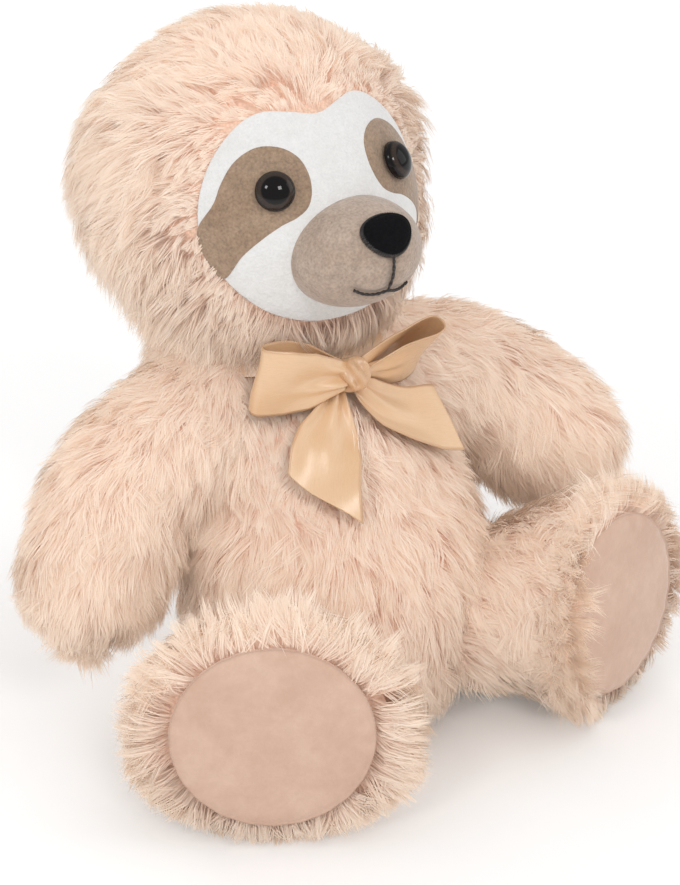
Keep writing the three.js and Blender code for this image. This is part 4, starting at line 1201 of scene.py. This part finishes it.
def put_eye(word):
    """A safety eye as a turned profile: a shank behind the cloth, a thin rim and a high dome."""
    place = np.array(EYE_DEGREES) * [SIDES[word], 1]
    outward = straight_out(hide_place, *place, 1)
    seat = hide_place(*place) + outward * EYE_SEAT
    side = unit(np.cross(UP, outward))
    top = np.cross(outward, side)
    brim = 0.8
    profile = [(1.2, -13.0), (2.4, -13.0), (2.4, -0.3), (EYE_RADIUS * 0.9, -0.25), (EYE_RADIUS, 0.1)]
    for a in np.linspace(0.02, 0.985, 40) * np.pi / 2:
        profile.append((EYE_RADIUS * math.cos(a), brim + (EYE_HEIGHT - brim) * math.sin(a)))
    profile = np.array(profile)
    angle = turns(72)[None, :, None]
    local = profile[:, 0, None, None] * (np.cos(angle) * side + np.sin(angle) * top)
    grid = head_to_toy(seat + local + profile[:, 1, None, None] * outward)
    obj = put_closed("eye_dome_" + word, outward_grid(grid))
    places = np.empty(len(obj.data.vertices) * 3, np.float32)
    obj.data.vertices.foreach_get("co", places)
    from_seat = toy_to_head(places.reshape(-1, 3) / MM) - seat
    depth = from_seat @ outward
    across = from_seat - depth[:, None] * outward
    radial = np.clip(np.linalg.norm(across, axis=1) / EYE_RADIUS, 0, 1)
    radial = np.where(depth < 0.4, 1.0, radial)
    bearing = np.arctan2(across @ top, across @ side) / (2 * np.pi) + 0.5
    corner = np.empty(len(obj.data.loops), np.int32)
    obj.data.loops.foreach_get("vertex_index", corner)
    layer = obj.data.uv_layers.new(name="eye_map")
    layer.data.foreach_set("uv", np.stack([bearing, radial], -1)[corner].astype(np.float32).ravel())
    return obj


# Soles


def sole_grid(word, rows=40, around=120):
    """A sole pad: crowned in front, puckered a little at its seam and rolled in to its back."""
    middle, normal = sole_of(word)
    across, upward = sole_axes(word)
    angle = turns(around)[None, :]
    back = [(0.3, -3.0), (0.9, -3.0), (0.99, -2.6), (1.0, -1.2), (0.995, -0.3)]
    share = np.linspace(0.985, 0.01, rows)
    front = np.stack([share, 2.0 * (1 - share**2) - 0.9 * smoothstep(share, 0.9, 1.0)], -1)
    share, height = np.concatenate([back, front]).T[:, :, None]
    pucker = 0.22 * np.sin(angle * 23) * smoothstep(share, 0.8, 0.97)
    wide, tall = SOLE_HALF_WIDTH * share, SOLE_HALF_HEIGHT * share
    local = (wide * np.cos(angle))[..., None] * across + (tall * np.sin(angle))[..., None] * upward
    local = local + (height + pucker)[..., None] * normal
    return outward_grid(middle + SOLE_RISE * upward + local)


# Bow


def ribbon_grid(middles, across, widths, folds, steps, cut=0.0, columns=22):
    """A ribbon from its middle line, the way its width runs and its width, rippled by folds square to it.
    A cut makes one edge shorter by that share, for a slanted end."""
    per_span = 40
    line = curve_through(middles, per_span)
    lengths = lengths_along(line)
    length = lengths[-1]
    share = np.linspace(0, 1, steps)
    place, way = places_at(line, share)
    key = lengths[::per_span] / length
    width = np.interp(share, key, widths)
    run = unit(columns_at(share, key, across))
    run = unit(run - dot(run, way) * way)
    through = np.cross(way, run)
    v = np.linspace(-0.5, 0.5, columns)[None, :]
    ripple = folds(share[:, None], v)
    grid = place[:, None] + run[:, None] * (v * width[:, None])[..., None]
    grid = grid + through[:, None] * ripple[..., None]
    uv = np.stack([share[:, None] * length + 0 * v, v * in_mm("ribbon_width") + 0 * share[:, None]], -1)
    row = share[:, None] * (1 - abs(cut) * (0.5 + math.copysign(1, cut) * v)) * (steps - 1.001)
    low, part = row.astype(int), (row % 1)[..., None]
    column = np.arange(columns)[None, :]
    grid, uv = (rows[low, column] * (1 - part) + rows[low + 1, column] * part for rows in (grid, uv))
    return grid, uv, length


def put_ribbon(name, pieces, folds, steps, node, cut=0.0):
    """A satin ribbon with its thickness."""
    grid, uv, length = ribbon_grid(*pieces, folds, steps, cut)
    obj = put_strip(name, grid, uv)
    finish_piece(obj, satin_material("Satin " + name, True), "satin", "torso", node)
    wall = obj.modifiers.new("Thickness", "SOLIDIFY")
    wall.thickness = sizes().ribbon_thickness
    wall.offset = 0


def loop_pieces(word):
    """Middle line of a loop: out from the knot in front, round its far end and back behind."""
    loop, side = LOOPS[word], SIDES[word]
    lean, turn = math.radians(loop["lean"]), math.radians(loop["turn"])
    outward = unit(np.array([side * math.cos(turn), math.sin(turn), loop["rise"] / loop["length"]]))
    across = np.array([0, math.sin(lean), math.cos(lean)])
    across = flat_on(outward, across)
    ahead = unit(np.cross(outward, across) * side)
    start = KNOT_MIDDLE + outward * 4

    def layer(rows, sign):
        out, half = rows[:, 0, None] * loop["length"], sign * (rows[:, 1, None] * loop["opening"] / 2 + 1)
        return start + outward * out + ahead * half

    middles = np.concatenate([layer(LOOP_SHARES, 1), layer(LOOP_SHARES[::-1], -1)])
    widths = np.concatenate([LOOP_SHARES[:, 2], LOOP_SHARES[::-1, 2]]) * in_mm("ribbon_width")
    return middles, np.broadcast_to(across, middles.shape), widths


def tail_pieces(word):
    """Middle line of a tail: down and round the chest from the knot."""
    tail = TAILS[word]
    degrees, drop, lift, width = TAIL_SHARES[word].T
    height = KNOT_MIDDLE[2] - drop * tail["drop"]
    normal = straight_out(chest_place, degrees, height, 0.3)
    middles = chest_place(degrees, height) + normal * (lift * tail["lift"])[:, None]
    way = unit(np.gradient(middles, axis=0))
    return middles, unit(np.cross(normal, way)), width * in_mm("ribbon_width")


def loop_folds(share, v):
    """Pleats that gather at both ends, a wave between them and a crease beside the knot."""
    root = np.abs(2 * share - 1) ** 3
    crease = np.exp(-(((v + 0.14) / 0.1) ** 2)) * np.exp(-((share / 0.2) ** 2))
    wave = 1.1 * np.sin(share * 12 + v * 4.5) * (1 - root)
    return root * 2.0 * np.cos(v * 2 * np.pi * 1.6 + 0.6) + wave - 5.0 * crease


def tail_folds(share, v):
    """Pleats that fade from the knot, and a wave that grows to the end."""
    root = (1 - share) ** 2
    return root * 1.8 * np.cos(v * 2 * np.pi * 2) + 1.5 * np.sin(share * 8 + v * 3.5) * share


def knot_grid(rows=70, around=90):
    """The knot: a rounded block wrapped by the ribbon, with soft pleats that run up and down its front."""
    way = np.linspace(-0.98, 0.98, rows)[:, None] * np.pi / 2
    angle = turns(around)[None, :]

    def full(value, power):
        return np.sign(value) * np.abs(value) ** power

    pleats = 1 + 0.13 * np.sin(angle * 6 + 2.2 * np.sin(way * 1.7)) * np.cos(way) ** 0.5
    pleats = pleats - 0.12 * np.exp(-(((angle - 4.4 - 0.5 * way) / 0.22) ** 2))
    wide, deep, tall = KNOT_HALF
    x = (wide + 1.0 * np.sin(way)) * full(np.cos(angle), 0.8) * np.cos(way) ** 0.55 * pleats
    y = deep * full(np.sin(angle), 0.8) * np.cos(way) ** 0.55 * pleats
    z = tall * full(np.sin(way), 0.85) + 0 * angle
    return np.stack([x, y, z], -1) @ tilted(BOW_LEAN).T + KNOT_MIDDLE


# Stage: where the camera looks from, and each lamp's place, size, power and whether gloss mirrors it

CAMERA_BACK, CAMERA_RIGHT = (-0.5111, -0.7299, 0.4540), (0.8192, -0.5736, 0.0)
CAMERA_AIM, CAMERA_DISTANCE, CAMERA_LENS = (0.0, -0.004, 0.125), 1.2, 113.52
LAMPS = {
    "Key": ((-0.9, -1.9, 2.3), 1.6, 7, False),
    "Fill": ((2.0, -1.2, 1.3), 1.8, 7, True),
    "Back": ((0.3, 2.1, 1.9), 1.5, 12, False),
    "Left": ((-2.1, -0.7, 0.7), 1.5, 4, False),
    "Window left": ((-1.465, -0.365, 1.51), 0.34, 4.5, True),
    "Window right": ((-0.236, -1.49, 1.51), 0.42, 6, True),
}
LAMP_AIM = (0.0, 0.0, 0.14)
WORLD_SEEN, WORLD_LIGHT, WORLD_MIRRORED = 1.0, 0.75, 0.42
FLOOR_RINGS, FLOOR_SIDES = np.array([400.0, 1500.0, 9000.0]), 96


# Operators


class SLOTH_OT_stage(bpy.types.Operator):
    """Floor, soft lamps, world and the camera at the photograph's angle"""

    bl_idname = "sloth.stage"
    bl_label = "Stage"

    def execute(self, context):
        context.scene.view_settings.view_transform = "Standard"
        self.camera(context.scene)
        for name, values in LAMPS.items():
            self.lamp(context.scene, name, *values)
        self.world(context.scene)
        self.floor()
        return {"FINISHED"}

    def camera(self, scene):
        back, right = unit(np.array(CAMERA_BACK)), np.array(CAMERA_RIGHT)
        data = bpy.data.cameras.new("Camera")
        data.lens = CAMERA_LENS
        data.sensor_width = 36
        data.clip_start = 0.05
        camera = bpy.data.objects.new("Camera", data)
        scene.collection.objects.link(camera)
        matrix = np.eye(4)
        matrix[:3] = np.stack([right, np.cross(back, right), back, CAMERA_AIM + back * CAMERA_DISTANCE], -1)
        camera.matrix_world = Matrix(matrix.tolist())
        scene.camera = camera

    def lamp(self, scene, name, place, size, power, mirrored):
        """A soft square lamp that looks at the toy."""
        data = bpy.data.lights.new(name, "AREA")
        data.size = size
        data.energy = power
        lamp = bpy.data.objects.new(name, data)
        scene.collection.objects.link(lamp)
        lamp.location = place
        lamp.visible_glossy = mirrored
        x, y, z = unit(np.subtract(place, LAMP_AIM))
        lamp.rotation_euler = (math.acos(z), 0, math.atan2(y, x) + math.pi / 2)

    def world(self, scene):
        """White behind everything, softer as light and softer still in gloss."""
        scene.world = bpy.data.worlds.new("Soft white")
        scene.world.use_nodes = True
        tree = Shading(scene.world.node_tree)
        path = tree.nodes.new("ShaderNodeLightPath")
        seen = tree.math("MAXIMUM", path.outputs["Is Camera Ray"], path.outputs["Is Transmission Ray"])
        strength = tree.math("ADD", tree.math("MULTIPLY", seen, WORLD_SEEN - WORLD_LIGHT), WORLD_LIGHT)
        mirrored = tree.math("MULTIPLY", path.outputs["Is Glossy Ray"], WORLD_LIGHT - WORLD_MIRRORED)
        background = tree.nodes["Background"]
        tree.links.new(tree.math("SUBTRACT", strength, mirrored), background.inputs["Strength"])
        background.inputs["Color"].default_value = (1, 1, 1, 1)

    def floor(self):
        """A wide flat floor, faintly mottled, that shows the shadow."""
        angle = turns(FLOOR_SIDES)[None, :, None]
        reach = FLOOR_RINGS[::-1, None, None]
        grid = np.concatenate([np.cos(angle) * reach, np.sin(angle) * reach, 0 * angle * reach], -1)
        points = np.concatenate([grid.reshape(-1, 3), [[0, 0, 0]]])
        middle = len(points) - 1
        last = middle - FLOOR_SIDES + np.arange(FLOOR_SIDES)
        fan = np.stack([last, np.roll(last, -1), np.full(FLOOR_SIDES, middle)], -1)
        obj = put_mesh("floor", points, grid_faces(len(FLOOR_RINGS), FLOOR_SIDES, True), fan)
        material, tree = new_material("Pale floor", {"Roughness": 0.95, "Specular IOR Level": 0.0})
        base = colours().floor
        cloud = tree.spread(tree.noise(tree.place(), 6, 3), 0.3, 0.7, 0, 0.3)
        soft = tree.mix(cloud, base, shaded(base, 0.98))
        seen = tree.nodes.new("ShaderNodeLightPath").outputs["Is Camera Ray"]
        tree.surface(tree.mix(seen, soft, (1.0, 1.0, 1.0)))
        obj.data.materials.append(material)


class SLOTH_OT_hides(bpy.types.Operator):
    """Knitted hides under the fur, stuffed full"""

    bl_idname = "sloth.hides"
    bl_label = "Hides"

    def execute(self, context):
        pile = in_mm("pile")
        hide = hide_material()

        def put_hide(name, grid, body, fill):
            nodes = (body + "_skin", body + "_stuffing")
            put_padded(name, grid, hide, "fur", body, fill, *nodes)

        put_hide("torso_hide", torso_grid(-pile), "torso", 0.9)
        put_hide("head_hide", head_grid(-HEAD_TUCK), "head", 0.95)
        for word in SIDES:
            put_hide("arm_hide_" + word, arm_grid(word, pile), "arm_" + word, 0.85)
            put_hide("leg_hide_" + word, leg_grid(word, pile), "leg_" + word, 0.9)
        return {"FINISHED"}


class SLOTH_OT_fur(bpy.types.Operator):
    """Long pile in clumped locks on every hide"""

    bl_idname = "sloth.fur"
    bl_label = "Fur"

    def execute(self, context):
        pile = in_mm("pile")
        hairs = grow_hairs(torso_grid(-pile), LOCKS["torso"], body_habit(), SEEDS["torso"])
        thirds = ["torso_fur_right", "torso_fur_front", "torso_fur_left"]
        split_fur(thirds, hairs, "torso", lambda r: np.arctan2(r[:, 0], -r[:, 1]))
        hairs = grow_hairs(head_grid(-HEAD_TUCK), LOCKS["head"], head_habit, SEEDS["head"])
        quarters = ["head_fur_right", "head_fur_middle_right", "head_fur_middle_left", "head_fur_left"]
        split_fur(quarters, hairs, "head", lambda r: r[:, 0])
        for word in SIDES:
            for limb, make_grid, habit in (("arm", arm_grid, arm_habit), ("leg", leg_grid, leg_habit)):
                hairs = grow_hairs(make_grid(word, pile), LOCKS[limb], habit(word), SEEDS[limb][word])
                halves = [limb + "_fur_" + half + "_" + word for half in ("low", "high")]
                split_fur(halves, hairs, limb + "_" + word, lambda r: r[:, 2])
        return {"FINISHED"}


class SLOTH_OT_face(bpy.types.Operator):
    """White face cloth, taupe eye patches, muzzle, nose and sewn mouth"""

    bl_idname = "sloth.face"
    bl_label = "Face"

    def execute(self, context):
        tones = colours()

        def put_cloth(name, grid, material, slot, fill, node):
            put_padded(name, outward_grid(grid), material, slot, "head", fill, node)

        rows = pillow_rows(40, height=0.2, crown=0.5, tuck=2.4)
        panel = face_cloth(face_outline(), FACE_MIDDLE, 1, rows, around=220)
        white = cloth_material("White short pile", tones.face, cloudiness=0.2, grain=0.05)
        put_cloth("face_cloth", panel, white, "white_minky", 0.9, "face_panel")
        taupe = cloth_material("Taupe short pile", tones.patch, cloudiness=0.7, grain=0.26)
        rows = pillow_rows(24, height=0.7, crown=0.3, tuck=0.1)
        for word, side in SIDES.items():
            patch = face_cloth(PATCH_DEGREES, PATCH_MIDDLE, side, rows)
            put_cloth("patch_cloth_" + word, patch, taupe, "taupe_minky", 0.8, "eye_patch_" + word)
        brown = cloth_material("Muzzle short pile", tones.muzzle, cloudiness=0.6, grain=0.24)
        put_cloth("muzzle_cushion", muzzle_grid(), brown, "muzzle_minky", 1.0, "muzzle")
        velour = cloth_material("Black velour", tones.nose, 0.3, 0.3, sheen=0.01, shine=0.08)
        put_cloth("nose_cushion", nose_grid(), velour, "nose_velour", 1.0, "nose")
        rim = put_ring("nose_stitching", nose_rim_grid())
        finish_piece(rim, thread_material("Nose thread", 0.6), "mouth_thread", "head")
        black = thread_material("Mouth thread", 0.5)
        for name, line, twists in zip(("mouth_smile", "mouth_stem"), mouth_lines(), (14, 5)):
            thread = head_to_toy(curve_through(on_muzzle(*line, 0.1), 60))
            tube = tube_grid(thread, radius=0.6, around=12, ply=0.2, twists=twists)
            obj = put_closed(name, outward_grid(tube))
            finish_piece(obj, black, "mouth_thread", "head", "mouth_stitching")
        return {"FINISHED"}


class SLOTH_OT_eyes(bpy.types.Operator):
    """Glossy safety eyes and their washers"""

    bl_idname = "sloth.eyes"
    bl_label = "Eyes"

    def execute(self, context):
        gloss = eye_material()
        plastic = washer_material()
        for word in SIDES:
            finish_piece(put_eye(word), gloss, "eye_plastic", "head", "eye_" + word)
            redress("eye_washer_" + word, plastic)
        return {"FINISHED"}


class SLOTH_OT_soles(bpy.types.Operator):
    """Brushed suede soles"""

    bl_idname = "sloth.soles"
    bl_label = "Soles"

    def execute(self, context):
        suede = suede_material()
        for word in SIDES:
            name, body, node = "sole_pad_" + word, "leg_" + word, "sole_" + word
            put_padded(name, sole_grid(word), suede, "sole_suede", body, 0.9, node)
        return {"FINISHED"}


class SLOTH_OT_bow(bpy.types.Operator):
    """Satin bow: knot, two loops, two tails and the band round the neck"""

    bl_idname = "sloth.bow"
    bl_label = "Bow"

    def execute(self, context):
        for word in SIDES:
            loop, tail, cut = "bow_loop_" + word, "bow_tail_" + word, TAILS[word]["cut"]
            put_ribbon("loop_satin_" + word, loop_pieces(word), loop_folds, 150, loop)
            put_ribbon("tail_satin_" + word, tail_pieces(word), tail_folds, 90, tail, cut)
        satin = satin_material("Satin knot", False)
        put_padded("knot_satin", outward_grid(knot_grid()), satin, "satin", "torso", 0.8, "bow_knot")
        redress("ribbon_band", satin)
        return {"FINISHED"}


class SLOTH_PT_panel(bpy.types.Panel):
    """Lists the makers of the sloth's pieces"""

    bl_label = "Plush Sloth"
    bl_idname = "SLOTH_PT_panel"
    bl_space_type = "VIEW_3D"
    bl_region_type = "UI"
    bl_category = "Plush Sloth"

    def draw(self, context):
        for operator in OPERATORS:
            self.layout.operator(operator.bl_idname)


OPERATORS = (
    SLOTH_OT_stage,
    SLOTH_OT_hides,
    SLOTH_OT_fur,
    SLOTH_OT_face,
    SLOTH_OT_eyes,
    SLOTH_OT_soles,
    SLOTH_OT_bow,
)
CLASSES = (SlothSizes, SlothColours, *OPERATORS, SLOTH_PT_panel)


def register():
    for each in CLASSES:
        bpy.utils.register_class(each)
    bpy.types.Scene.sloth_sizes = bpy.props.PointerProperty(type=SlothSizes)
    bpy.types.Scene.sloth_colours = bpy.props.PointerProperty(type=SlothColours)


def unregister():
    del bpy.types.Scene.sloth_colours
    del bpy.types.Scene.sloth_sizes
    for each in reversed(CLASSES):
        bpy.utils.unregister_class(each)


def main():
    register()
    bpy.ops.sloth.stage()
    bpy.ops.sloth.hides()
    bpy.ops.sloth.fur()
    bpy.ops.sloth.face()
    bpy.ops.sloth.eyes()
    bpy.ops.sloth.soles()
    bpy.ops.sloth.bow()


if __name__ == "__main__":
    main()
